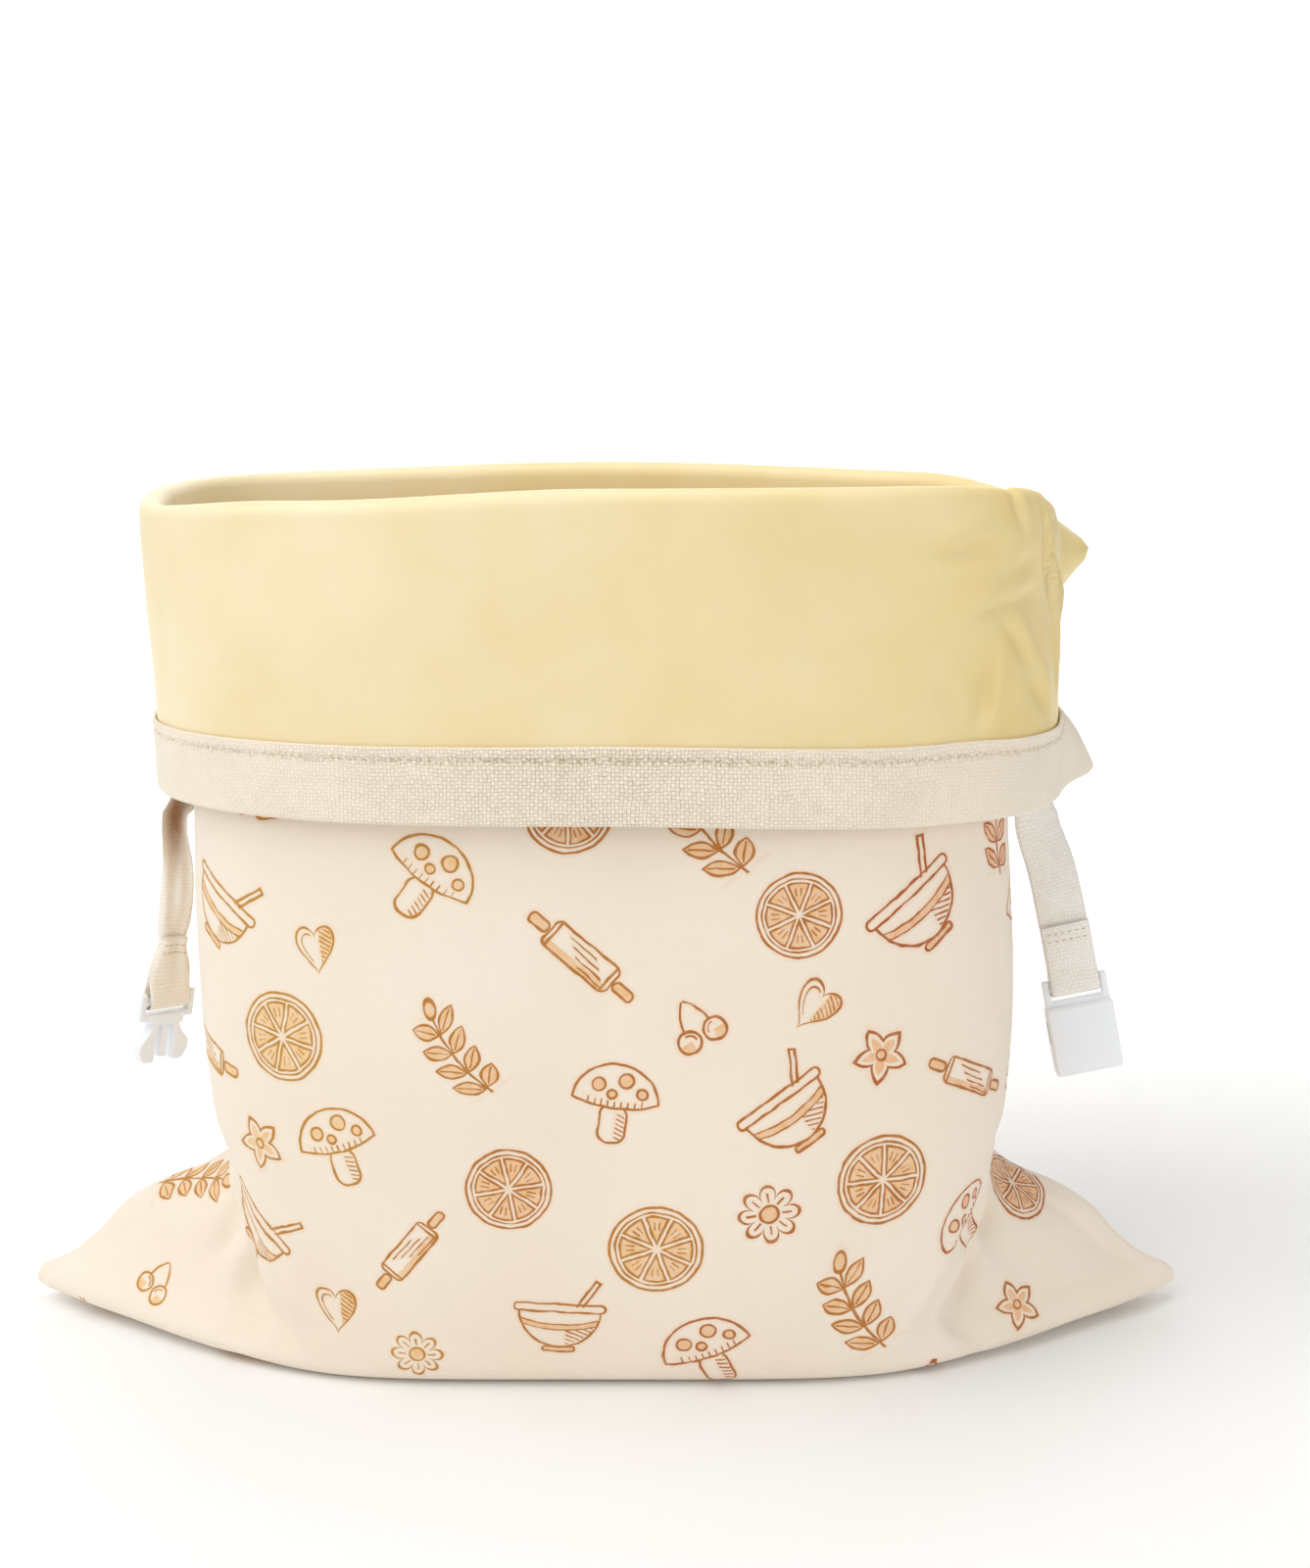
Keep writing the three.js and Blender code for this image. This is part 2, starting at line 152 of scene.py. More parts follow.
@dataclass(frozen=True)
class Crease:
    """A narrow crease between two places (angle, height), as a trough with a low bank beside it.

    A negative depth makes a ridge with a low trough beside it. Width and depth are in millimetres."""

    side: Side
    start: tuple[float, float]
    end: tuple[float, float]
    width: float
    depth: float
    # How its ends fade out: over so many widths and a share of its length
    fade_widths: float = 2.0
    fade_share: float = 0.32
    # How far it bows off the straight line, as a share of its length, and how much of that on the wall
    bow: float = 0.3
    wall_bow: float = 0.1
    # How far it wanders and over what length, and the share by which its depth and its width vary
    wander: float = 0.4
    wander_long: float = 3.1
    uneven: float = 0.2
    uneven_long: float = 4.3
    narrows: float = 0.3
    # The bank: how far off and how wide, in widths, and how high as a share of the depth
    bank_off: float = 1.9
    bank_wide: float = 1.3
    bank_high: float = 0.45

    def lift(self, angle: Array, z: Array, per_degree: float) -> Array:
        """How far the crease lifts the cloth at each angle and height.

        Args:
            angle: the columns' angles in degrees.
            z: the rows' heights, as a column.
            per_degree: how many millimetres of cloth lie in a degree.

        Returns:
            The lift in millimetres, less than 0 in the trough.
        """
        across = (np.mod(angle - self.start[0] + 180, 360) - 180) * per_degree
        up = z - self.start[1]
        run_x = (self.end[0] - self.start[0]) * per_degree
        run_z = self.end[1] - self.start[1]
        long = math.hypot(run_x, run_z)
        along = (across * run_x + up * run_z) / long
        beside = (up * run_x - across * run_z) / long
        fade = self.fade_widths * self.width + self.fade_share * long
        ends = smoothstep((along + self.width) / fade)
        ends = ends * smoothstep((long + self.width - along) / fade)
        share = np.clip(along / long, 0, 1)
        bow = math.sin(5 * self.start[0] + self.start[1]) if self.side is Side.CUFF else self.wall_bow
        beside = beside + self.bow * bow * long * share * (1 - share)
        beside = beside + self.wander * np.sin(along / self.wander_long + 9 * bow)
        uneven = 1 - self.uneven + self.uneven * np.sin(along / self.uneven_long + self.start[0])
        width = self.width * (1 - self.narrows + self.narrows * ends)
        bank = self.bank_high * bell(beside, self.bank_off * width, self.bank_wide * width)
        return self.depth * ends * uneven * (bank - bell(beside, 0, width))


def smoothstep(share: Array | float) -> Array:
    """An eased step from 0 to 1 as share goes from 0 to 1."""
    t = np.clip(share, 0.0, 1.0)
    return t * t * (3 - 2 * t)


def eased(at: Array, knots: list[float], values: list[float]) -> Array:
    """A smooth curve through rows of a table that never swings past them.

    Args:
        at: the places where the curve is read.
        knots: the rows' places, rising.
        values: the rows' values.

    Returns:
        The curve's values.
    """
    x = np.asarray(knots, float)
    y = np.asarray(values, float)
    step = np.diff(x)
    slope = np.diff(y) / step
    tangent = np.concatenate([[slope[0]], np.zeros(len(x) - 2), [slope[-1]]])
    for i in range(1, len(x) - 1):
        before, after = slope[i - 1], slope[i]
        if before * after > 0:
            near = 2 * step[i] + step[i - 1]
            far = step[i] + 2 * step[i - 1]
            tangent[i] = (near + far) / (near / before + far / after)
    i = np.clip(np.searchsorted(x, at, side="right") - 1, 0, len(step) - 1)
    t = np.clip((at - x[i]) / step[i], 0.0, 1.0)
    rise = (1 - t) ** 2 * (1 + 2 * t) * y[i] + t * t * (3 - 2 * t) * y[i + 1]
    return rise + step[i] * (t * (1 - t) ** 2 * tangent[i] - t * t * (1 - t) * tangent[i + 1])


def bell(at: Array | float, middle: Array | float, reach: Array | float) -> Array:
    """A bell curve: 1 at its middle, and falling off over its reach."""
    return np.exp(-(((at - middle) / reach) ** 2))


def unit(vectors: Array) -> Array:
    """The vectors at length 1."""
    return vectors / np.maximum(np.linalg.norm(vectors, axis=-1, keepdims=True), TINY)


def creases(side: Side, *rows: tuple[float, ...]) -> tuple[Crease, ...]:
    """Creases from rows of a start's angle and height, an end's angle and height, a width and a depth."""
    return tuple(Crease(side, row[:2], row[2:4], *row[4:]) for row in rows)


WALL_RINGS = (
    Ring(0, 93, 95, 51.5, 50.5, 6.6, 36, 34, 47),
    Ring(0.9, 98.5, 100.5, 57.4, 56.4, 6.2, 49, 47, 53),
    Ring(2.2, 102, 104, 61, 60, 5.8, 68, 64, 57),
    Ring(4.6, 104, 106.2, 63.3, 62.3, 5.0, 83.6, 79.6, 59),
    Ring(8, 104.9, 107.4, 64.8, 63.8, 4.8, 87.4, 83.8, 56),
    Ring(11.5, 105.4, 108.2, 65.8, 64.8, 4.7, 86.2, 82.2, 52),
    Ring(16, 106, 109, 66.9, 65.9, 4.5, 76.4, 72.4, 47.5),
    Ring(25, 108, 111.5, 69.3, 68.3, 4.2, 63, 59, 42),
    Ring(34, 110.5, 114.5, 71.2, 70.2, 4.0, 52.6, 48, 37.5),
    Ring(42, 113.5, 117.5, 72.6, 71.6, 3.7, 38, 33, 34),
    Ring(50, 117, 121, 73.5, 72.5, 3.4, 15.5, 12, 31),
    Ring(61, 120, 124, 74.5, 73.5, 3.2, 0, 0, 30),
    Ring(80, 126, 129, 75.5, 74.5, 3.0, 0, 0, 30),
    Ring(112, 129, 131, 76, 75, 2.9, 0, 0, 30),
    Ring(150, 129.8, 129, 75.5, 75, 2.9, 0, 0, 30),
    Ring(185, 129, 127, 75, 74.5, 2.9, 0, 0, 30),
    Ring(230, 132, 130, 74, 73.5, 2.85, 0, 0, 30),
    Ring(RIM, 137, 134, 73, 72.5, 2.85, 0, 0, 30),
)
CUFF_RINGS = (
    Ring(RIM, 139.8, 137, 77.4, 77, 2.75, 0, 1.5, 16),
    Ring(269.5, 139.8, 138, 77.8, 77.3, 2.72, 0, 7.0, 17),
    Ring(264, 139.8, 138.8, 78.4, 77.8, 2.7, 0, 9.8, 17),
    Ring(257, 139.6, 139, 78.9, 78.3, 2.67, 0, 5.6, 16),
    Ring(250, 139.3, 139.2, 79.4, 78.8, 2.65, 0, 1.4, 15),
    Ring(244, 139.1, 139.3, 79.7, 79.1, 2.65, 0, 0.2, 15),
    Ring(228, 138.2, 139.8, 80.4, 79.8, 2.6, 0, 0, 16),
    Ring(EDGE + TAPE_DEPTH, 137.2, 140.2, 80.8, 80.4, 2.6, 0, 0, 30),
    Ring(EDGE + TAPE_INSIDE, 136.9, 140.8, 80.8, 80.4, 2.6, 0, 6, 28),
    Ring(EDGE, 136.6, 140.8, 80.6, 80.2, 2.6, 0, 11.5, 26),
)
RISES = (
    Rise(0, -11.5, 1.5),
    Rise(22, -7, -0.5),
    Rise(45, -3, -2),
    Rise(90, -1, 0),
    Rise(135, -3, -1),
    Rise(180, -4, 0.4),
    Rise(206, -7, 0.6),
    Rise(236, -4, 0.6),
    Rise(270, -0.5, 0.8),
    Rise(312, 0, -1.8),
    Rise(327, -1.5, -2.6),
    Rise(340, -6.5, -1.8),
    Rise(351, -10.5, 0.8),
    Rise(360, -11.5, 1.5),
)
FOLDS = (
    Fold(Side.WALL, 270, 140, 6, 45, 1.4),
    Fold(Side.WALL, 246, 105, 12, 40, -1.6),
    Fold(Side.WALL, 292, 75, 14, 36, -1.4),
    Fold(Side.WALL, 232, 34, 9, 24, 2.4),
    Fold(Side.WALL, 308, 34, 9, 24, 2.4),
    Fold(Side.WALL, 128, 40, 10, 28, 2.2),
    Fold(Side.WALL, 52, 40, 10, 28, 2.2),
    Fold(Side.WALL, 90, 120, 16, 60, 1.8),
    Fold(Side.WALL, 194, 26, 6, 16, -2.2),
    Fold(Side.WALL, 346, 26, 6, 16, -2.2),
    Fold(Side.CUFF, 300, 236, 8, 15, 1.9),
    Fold(Side.CUFF, 315, 216, 8, 13, 1.6),
    Fold(Side.CUFF, 330, 245, 7, 12, 1.8),
    Fold(Side.CUFF, 240, 240, 14, 22, -1.2),
    Fold(Side.CUFF, 100, 232, 14, 20, 1.4),
    Fold(Side.CUFF, 160, 220, 12, 18, -1.3),
)

# Creases, given one by one. On the cuff most lie at its right front corner, round the pinched side seam; on
# the wall the deepest ones part the front from the two ears.
CREASES = creases(
    Side.CUFF,
    (329.5, 277, 337, 243, 1.5, 3.6),
    (334, 262, 338.5, 238, 1.5, 5.0),
    (346, 258, 342, 240, 2.4, 3.0),
    (338, 248, 339.5, 214, 3.0, 1.9),
    (334, 268, 341, 272, 1.6, 1.6),
    (353, 264.5, 368, 264, 2.4, -1.8),
    (345, 264, 352, 255, 2.0, 1.7),
    (322, 277, 324.5, 263, 1.9, 2.2),
    (306, 257, 322, 264, 2.6, 1.9),
    (316, 249, 328, 258, 3.4, 1.5),
    (314, 239, 330, 246.5, 2.5, 2.1),
    (318.5, 239.5, 328, 225, 2.3, 2.1),
    (318.5, 234, 315, 205, 2.4, 1.9),
    (309, 224, 314.5, 209, 2.4, 1.4),
    (324, 226, 334, 208, 3.2, 1.8),
    (300, 268, 308, 255, 5.5, 0.6),
    (212, 266, 209, 214, 6.0, 0.9),
    (221, 264, 230, 250, 6.0, 0.6),
    (262, 214, 274, 209, 6.0, 0.4),
    (12, 262, 17, 214, 5.0, 1.0),
    (66, 258, 72, 214, 7.0, 0.9),
    (120, 250, 112, 212, 8.0, 0.8),
    (172, 262, 169, 212, 6.0, 0.8),
) + creases(
    Side.WALL,
    (271.5, 182, 271, 84, 2.2, 0.6),
    (198.8, 70, 203.8, 26, 3.9, 7.2),
    (204.2, 40, 219, 5, 3.9, 6.4),
    (214, 54, 226, 10, 4.2, -1.6),
    (336.2, 26, 341.2, 70, 3.9, 7.2),
    (321, 5, 335.8, 40, 3.9, 6.4),
    (326, 54, 314, 10, 4.2, -1.6),
    (236, 60, 238, 18, 7.0, 0.8),
    (304, 60, 302, 18, 7.0, 0.8),
    (197, 96, 203, 60, 6.0, 1.2),
    (343, 96, 337, 60, 6.0, 1.2),
    (215, 150, 211, 108, 9.0, 0.9),
    (327, 160, 331, 112, 9.0, 0.9),
    (188, 44, 185.5, 14, 3.4, 0.9),
    (352, 44, 354.5, 14, 3.4, 0.9),
    (185, 13, 181.5, 7, 1.3, 0.9),
    (355, 13, 358.5, 7, 1.3, 0.9),
    (92, 176, 90, 80, 2.6, 0.6),
    (155, 64, 146, 0, 4.6, 4.6),
    (25, 64, 34, 0, 4.6, 4.6),
    (124, 66, 122, 14, 7.0, 0.9),
    (56, 66, 58, 14, 7.0, 0.9),
    (160, 124, 155, 76, 8.0, 1.0),
    (20, 124, 25, 76, 8.0, 1.0),
)

# Stretches of the grid's columns round the bag: first and last angle and the step, in degrees from its
# right side. They lie closer at the side seams, in the valleys beside the ears and at the right front.
STRETCHES = (
    (100, 172, 1.6),
    (172, 188, 0.7),
    (188, 224, 0.9),
    (224, 318, 1.45),
    (318, 374, 0.7),
    (374, 460, 1.6),
)


@dataclass
class Patch:
    """A grid of points on the printed face, with their normals and how far the creases lift each one."""

    points: Array
    normals: Array
    relief: Array

    def at_depth(self, depth: float) -> Array:
        """The grid moved back from the printed face by a depth in millimetres, creases with it."""
        return self.points + self.normals * (self.relief - depth)[..., None]


@dataclass
class BagShape:
    """The form of the bag's cloth, which all its layers share, in millimetres."""

    wall: tuple[Ring, ...] = WALL_RINGS
    cuff: tuple[Ring, ...] = CUFF_RINGS
    rises: tuple[Rise, ...] = RISES
    folds: tuple[Fold, ...] = FOLDS
    creases: tuple[Crease, ...] = CREASES
    # Slight waves, each where two sets cross: its height, and how many of each set go round the bag and
    # how far up it they take for a radian
    waves: tuple[tuple[float, ...], ...] = ((0.16, 8, 31, 3, 23), (0.10, 19, -17, -5, 13))
    waves_over: float = 12.0
    millimetres_per_degree: float = 2.1
    # The ears: how far back their tips lie, over what length, and how soft their tips and roots are
    tip_back: float = 3.0
    ear_long: float = 85.5
    tip_round: float = 0.05
    root_round: float = 0.006
    # The side seams: a trough between two ridges, which starts a little above the base
    seam_deep: float = 0.55
    seam_wide: float = 1.3
    ridge_off: float = 3.4
    ridge_wide: float = 1.8
    ridge_share: float = 0.4
    seam_from: float = 3.0
    seam_over: float = 6.0
    # The rows: over the base from a small hole in its middle, up the foot, low wall and high wall, over the
    # rim and down the cuff
    base_hole: float = 0.03
    base_ease: float = 0.8
    base_steps: int = 10
    foot: tuple[float, ...] = (0.0, 0.5, 1.1)
    low_from: float = 1.8
    low_step: float = 1.8
    high_from: float = 62.0
    high_step: float = 4.0
    turn_steps: int = 8
    cuff_step: float = 2.1

    def angles(self) -> Array:
        """The columns' angles in degrees, once round the bag from just past its back."""
        return np.concatenate([np.arange(first, last - step / 2, step) for first, last, step in STRETCHES])

    def ring(self, side: Side, z: Array) -> dict[str, Array]:
        """The smoothed columns of a side's table at some heights.

        Args:
            side: the wall or the cuff.
            z: the heights, as a column of shape (rows, 1).

        Returns:
            Each named size at those heights.
        """
        rings = sorted(self.wall if side is Side.WALL else self.cuff, key=lambda ring: ring.z)
        knots = [ring.z for ring in rings]
        names = ("left", "right", "front", "back", "corner", "ear_left", "ear_right", "root")
        return {name: eased(z, knots, [getattr(ring, name) for ring in rings]) for name in names}

    def rise(self, angle: Array, name: str) -> Array:
        """The rise of the rim or the edge at some angles, eased between the rows of the table.

        Args:
            angle: the angles in degrees.
            name: the table's column, rim or edge.

        Returns:
            The rise at each angle, in millimetres.
        """
        knots = np.array([row.angle for row in self.rises], float)
        values = np.array([getattr(row, name) for row in self.rises], float)
        turned = np.mod(angle, 360.0)
        i = np.clip(np.searchsorted(knots, turned, side="right") - 1, 0, len(knots) - 2)
        share = smoothstep((turned - knots[i]) / (knots[i + 1] - knots[i]))
        return values[i] + (values[i + 1] - values[i]) * share

    def relief(self, side: Side, angle: Array, z: Array) -> Array:
        """How far the listed creases and the cloth's slight waves lift the surface.

        Args:
            side: the wall or the cuff.
            angle: the columns' angles in degrees.
            z: the rows' heights, as a column.

        Returns:
            The lift outwards from the bag, in millimetres, before it is signed for a side.
        """
        lift = np.zeros(np.broadcast(angle, z).shape)
        for crease in self.creases:
            if crease.side is side:
                lift = lift + crease.lift(angle, z, self.millimetres_per_degree)
        lift = lift + self.seam(angle) * smoothstep((z - self.seam_from) / self.seam_over)
        turn, waves = np.radians(angle), 0.0
        for high, turns, tall, cross_turns, cross_tall in self.waves:
            first = high * np.sin(turns * turn + z / tall)
            waves = waves + first * np.sin(z / cross_tall + cross_turns * turn)
        return lift + waves * smoothstep(z / self.waves_over)

    def seam(self, angle: Array) -> Array:
        """The two side seams: a narrow trough with a low ridge on each side.

        Args:
            angle: the columns' angles in degrees.

        Returns:
            Their lift in millimetres.
        """
        away = np.abs(np.mod(angle + 90, 180) - 90) * self.millimetres_per_degree
        ridge = self.ridge_share * bell(away, self.ridge_off, self.ridge_wide)
        return self.seam_deep * (ridge - bell(away, 0, self.seam_wide))

    def place(self, side: Side, z: Array, angle: Array) -> Array:
        """Points of the printed face at some heights and angles, without the fine creases.

        Args:
            side: the wall or the cuff.
            z: the heights, one for each row.
            angle: the angles in degrees, one for each column.

        Returns:
            The points in millimetres, of shape (rows, columns, 3).
        """
        z = np.asarray(z, float)[:, None]
        angle = np.asarray(angle, float)[None, :]
        size = self.ring(side, z)
        c, s = np.cos(np.radians(angle)), np.sin(np.radians(angle))
        reach = (np.abs(c) ** size["corner"] + np.abs(s) ** size["corner"]) ** (-1 / size["corner"])
        sideways = np.where(c < 0, size["left"], size["right"]) * c * reach
        depthways = np.where(s < 0, size["front"], size["back"]) * s * reach
        share = np.abs(depthways) / size["root"]
        soft = self.tip_round
        inside = 1 + soft - np.sqrt((1 + 2 * soft) * share * share + soft * soft)
        if side is Side.CUFF:
            swell = smoothstep(inside)
        else:
            swell = (inside + np.sqrt(inside * inside + self.root_round)) / 2
            swell = swell / ((1 + math.sqrt(1 + self.root_round)) / 2)
        ear = np.where(c < 0, -size["ear_left"], size["ear_right"]) * swell
        fold = sum(fold.press(angle, z) for fold in self.folds if fold.side is side) * (z > 0)
        inward = np.stack([-sideways / size["left"], -depthways / size["front"]], axis=-1)
        inward = unit(inward) * fold[..., None]
        up_wall = smoothstep((z - EDGE) / (RIM - EDGE))
        edge = self.rise(angle, "edge") * (1 - up_wall) if side is Side.CUFF else 0.0
        x = sideways + ear + inward[..., 0]
        y = depthways + np.abs(ear) / self.ear_long * self.tip_back + inward[..., 1]
        height = z + self.rise(angle, "rim") * up_wall + edge
        return np.stack(np.broadcast_arrays(x, y, height), axis=-1)

    def patch(self, side: Side, z: Array, angle: Array) -> Patch:
        """A grid on one side, its normals read a little above and below each row.

        Args:
            side: the wall or the cuff.
            z: the heights, one for each row.
            angle: the angles in degrees, one for each column.

        Returns:
            The patch. Its normals point out of the printed face, so on the cuff towards the wall.
        """
        z = np.asarray(z, float)
        reach = 0.6
        low, high = (self.place(side, z + shift, angle) for shift in (-reach, reach))
        points = self.place(side, z, angle)
        normals = outward(high - low, round_grid(points))
        lift = self.relief(side, angle[None, :], z[:, None])
        if side is Side.CUFF:
            return Patch(points, -normals, -lift)
        return Patch(points, normals, lift)

    def sheet(self) -> Patch:
        """The whole printed face from the base's middle, up the wall, over the rim and down the cuff.

        Returns:
            The face as one patch.
        """
        angle = self.angles()
        low = np.concatenate([self.foot, np.arange(self.low_from, self.high_from, self.low_step)])
        high = np.linspace(self.high_from, RIM, round((RIM - self.high_from) / self.high_step) + 1)
        wall_z = np.concatenate([low, high])
        cuff_z = np.linspace(RIM, EDGE, round((RIM - EDGE) / self.cuff_step) + 1)
        wall = self.place(Side.WALL, wall_z, angle)
        cuff = self.place(Side.CUFF, cuff_z, angle)
        spread = np.linspace(self.base_hole, 1, self.base_steps + 1)[:-1] ** self.base_ease
        base = wall[0][None] * spread[:, None, None]
        bend = np.pi * np.arange(1, self.turn_steps)[:, None, None] / self.turn_steps
        top, under = wall[-1][None], cuff[0][None]
        turn = top + (under - top) * (1 - np.cos(bend)) / 2
        half = np.linalg.norm(under - top, axis=-1) / 2
        turn[..., 2] += half * np.sin(bend[..., 0])
        points = np.concatenate([base, wall, turn, cuff])
        down = np.gradient(points, axis=0)
        normals = outward(down, round_grid(points))
        normals[: len(base)] = (0, 0, -1)
        lift_wall = self.relief(Side.WALL, angle[None, :], wall_z[:, None])
        lift_cuff = -self.relief(Side.CUFF, angle[None, :], cuff_z[:, None])
        share = (np.arange(1, self.turn_steps) / self.turn_steps)[:, None]
        lift_turn = lift_wall[-1] * (1 - share) + lift_cuff[0] * share
        lift_base = np.zeros((len(base), len(angle)))
        relief = np.concatenate([lift_base, lift_wall, lift_turn, lift_cuff])
        return Patch(points, normals, relief)


def round_grid(points: Array) -> Array:
    """The way round the bag at each point of a grid whose last column meets its first."""
    return np.roll(points, -1, axis=1) - np.roll(points, 1, axis=1)


def outward(up: Array, along: Array) -> Array:
    """Unit normals from the way up a grid and the way round it."""
    return unit(np.cross(along, up))


def grid_faces(rows: int, columns: int, closed_rows: bool = False) -> Array:
    """Quads of a grid of points that closes round the bag, and over its rows too if asked.

    Args:
        rows: how many rows the grid has.
        columns: how many columns it has.
        closed_rows: whether the last row meets the first.

    Returns:
        Four point numbers for each quad.
    """
    i = np.arange(rows if closed_rows else rows - 1)[:, None]
    j = np.arange(columns)[None, :]
    after, beside = (i + 1) % rows, (j + 1) % columns
    corners = (i * columns + j, i * columns + beside, after * columns + beside, after * columns + j)
    return np.stack(np.broadcast_arrays(*corners), axis=-1).reshape(-1, 4)


def add_mesh(name: str, points: Array, faces: list | Array) -> Object:
    """A smooth mesh object from points in millimetres.

    Args:
        name: the piece's name.
        points: one row for each point.
        faces: point numbers of each face.

    Returns:
        The object, linked to the scene.
    """
    mesh = bpy.data.meshes.new(name)
    rows = [tuple(int(i) for i in face) for face in faces]
    mesh.from_pydata((points * MM).tolist(), [], rows)
    mesh.validate()
    mesh.shade_smooth()
    piece = bpy.data.objects.new(name, mesh)
    bpy.context.scene.collection.objects.link(piece)
    return piece


def read_all(rows: bpy.types.bpy_prop_collection, name: str, kind: type, width: int = 1) -> Array:
    """Reads one property of all a mesh's vertices, corners or faces.

    Args:
        rows: the vertices, corners or faces.
        name: the property.
        kind: the type of its numbers.
        width: how many numbers it has.

    Returns:
        The numbers, with a row for each if there is more than one number.
    """
    values = np.zeros(len(rows) * width, kind)
    rows.foreach_get(name, values)
    return values.reshape(-1, width) if width > 1 else values


def feed(tree: NodeTree, node: Node, inputs: dict) -> None:
    """Links or sets a node's inputs.

    Args:
        tree: the material's node tree.
        node: the node.
        inputs: a value or another node's output for each named or numbered input.
    """
    for name, value in inputs.items():
        if isinstance(value, NodeSocket):
            tree.links.new(value, node.inputs[name])
        else:
            node.inputs[name].default_value = value


def add_node(tree: NodeTree, kind: str, inputs: dict | None = None, settings: dict | None = None) -> Node:
    """Adds a node with its settings, and links or sets its inputs.

    Args:
        tree: the material's node tree.
        kind: the node's type without its ShaderNode prefix.
        inputs: a value or another node's output for each named or numbered input.
        settings: the node's own properties.

    Returns:
        The node.
    """
    node = tree.nodes.new("ShaderNode" + kind)
    for name, value in (settings or {}).items():
        setattr(node, name, value)
    feed(tree, node, inputs or {})
    return node


def colour(code: str) -> tuple[float, float, float, float]:
    """An sRGB hex colour as linear red, green, blue and alpha."""
    parts = (int(code[i : i + 2], 16) / 255 for i in (1, 3, 5))
    return (*(p / 12.92 if p <= 0.04045 else ((p + 0.055) / 1.055) ** 2.4 for p in parts), 1.0)


@dataclass
class Sums:
    """Turns sums written as text into Math nodes, each under a name that later sums can use."""

    tree: NodeTree
    known: dict[str, object] = field(default_factory=dict)

    SIGNS = {
        ast.Add: ("ADD", operator.add),
        ast.Sub: ("SUBTRACT", operator.sub),
        ast.Mult: ("MULTIPLY", operator.mul),
        ast.Div: ("DIVIDE", operator.truediv),
        ast.Pow: ("POWER", operator.pow),
    }
    # A clamp is a MAXIMUM with 0 that the node itself keeps below 1
    CALLS = {
        "abs": "ABSOLUTE",
        "min": "MINIMUM",
        "max": "MAXIMUM",
        "sqrt": "SQRT",
        "sin": "SINE",
        "cos": "COSINE",
        "direction": "ARCTAN2",
        "fract": "FRACT",
        "clamp": "MAXIMUM",
    }

    def let(self, **sums: str) -> None:
        """Works out each sum and keeps it under its name."""
        for name, text in sums.items():
            self.known[name] = self.result(ast.parse(text.strip()).body[0].value)

    def node(self, operation: str, *values: object, use_clamp: bool = False) -> object:
        """A Math node with these values, and its output."""
        settings = {"operation": operation, "use_clamp": use_clamp}
        return add_node(self.tree, "Math", dict(enumerate(values)), settings).outputs[0]

    def result(self, part: ast.expr) -> object:
        """Works out a part of a sum.

        Args:
            part: the part, as the parser gives it.

        Returns:
            A number, or the output of the node that works it out.
        """
        if isinstance(part, ast.Constant):
            return float(part.value)
        if isinstance(part, ast.Name):
            return self.known[part.id]
        if isinstance(part, ast.UnaryOp):
            value = self.result(part.operand)
            return -value if isinstance(value, float) else self.node("MULTIPLY", value, -1.0)
        if isinstance(part, ast.BinOp):
            left, right = self.result(part.left), self.result(part.right)
            operation, plain = self.SIGNS[type(part.op)]
            if isinstance(left, float) and isinstance(right, float):
                return plain(left, right)
            return self.node(operation, left, right)
        values = [self.result(value) for value in part.args]
        clamped = part.func.id == "clamp"
        return self.node(self.CALLS[part.func.id], *values, *([0.0] if clamped else []), use_clamp=clamped)


class Motif(Enum):
    """The line drawings of the print and the size of each: half its height in millimetres."""

    ROLLING_PIN = 19.0
    CITRUS = 14.0
    BOWL = 16.0
    WHISK = 18.0
    BRANCH = 18.0
    MUSHROOM = 14.5
    DAISY = 9.0
    HEART = 8.5
    STAR = 8.6
    CHERRIES = 8.4

    @property
    def number(self) -> int:
        """The motif's place in the list, which the cloth's attribute holds."""
        return list(Motif).index(self)

    @property
    def small(self) -> bool:
        """Whether the motif fills a gap between large ones."""
        return self.value < 10


def rounded_box(x: str, y: str, half_x: float, half_y: float, corner: float) -> str:
    """The sum for the distance to a box with rounded corners, less than 0 inside it."""
    over = f"(abs({x})-{half_x - corner})", f"(abs({y})-{half_y - corner})"
    return "sqrt(max({0},0)**2+max({1},0)**2)+min(max({0},{1}),0)-{2}".format(*over, corner)


def oval(x: str, y: str, half_x: float, half_y: float) -> str:
    """The sum for the rough distance to an oval, less than 0 inside it."""
    return f"(sqrt(({x})**2/{half_x**2}+({y})**2/{half_y**2})-1)*{min(half_x, half_y)}"


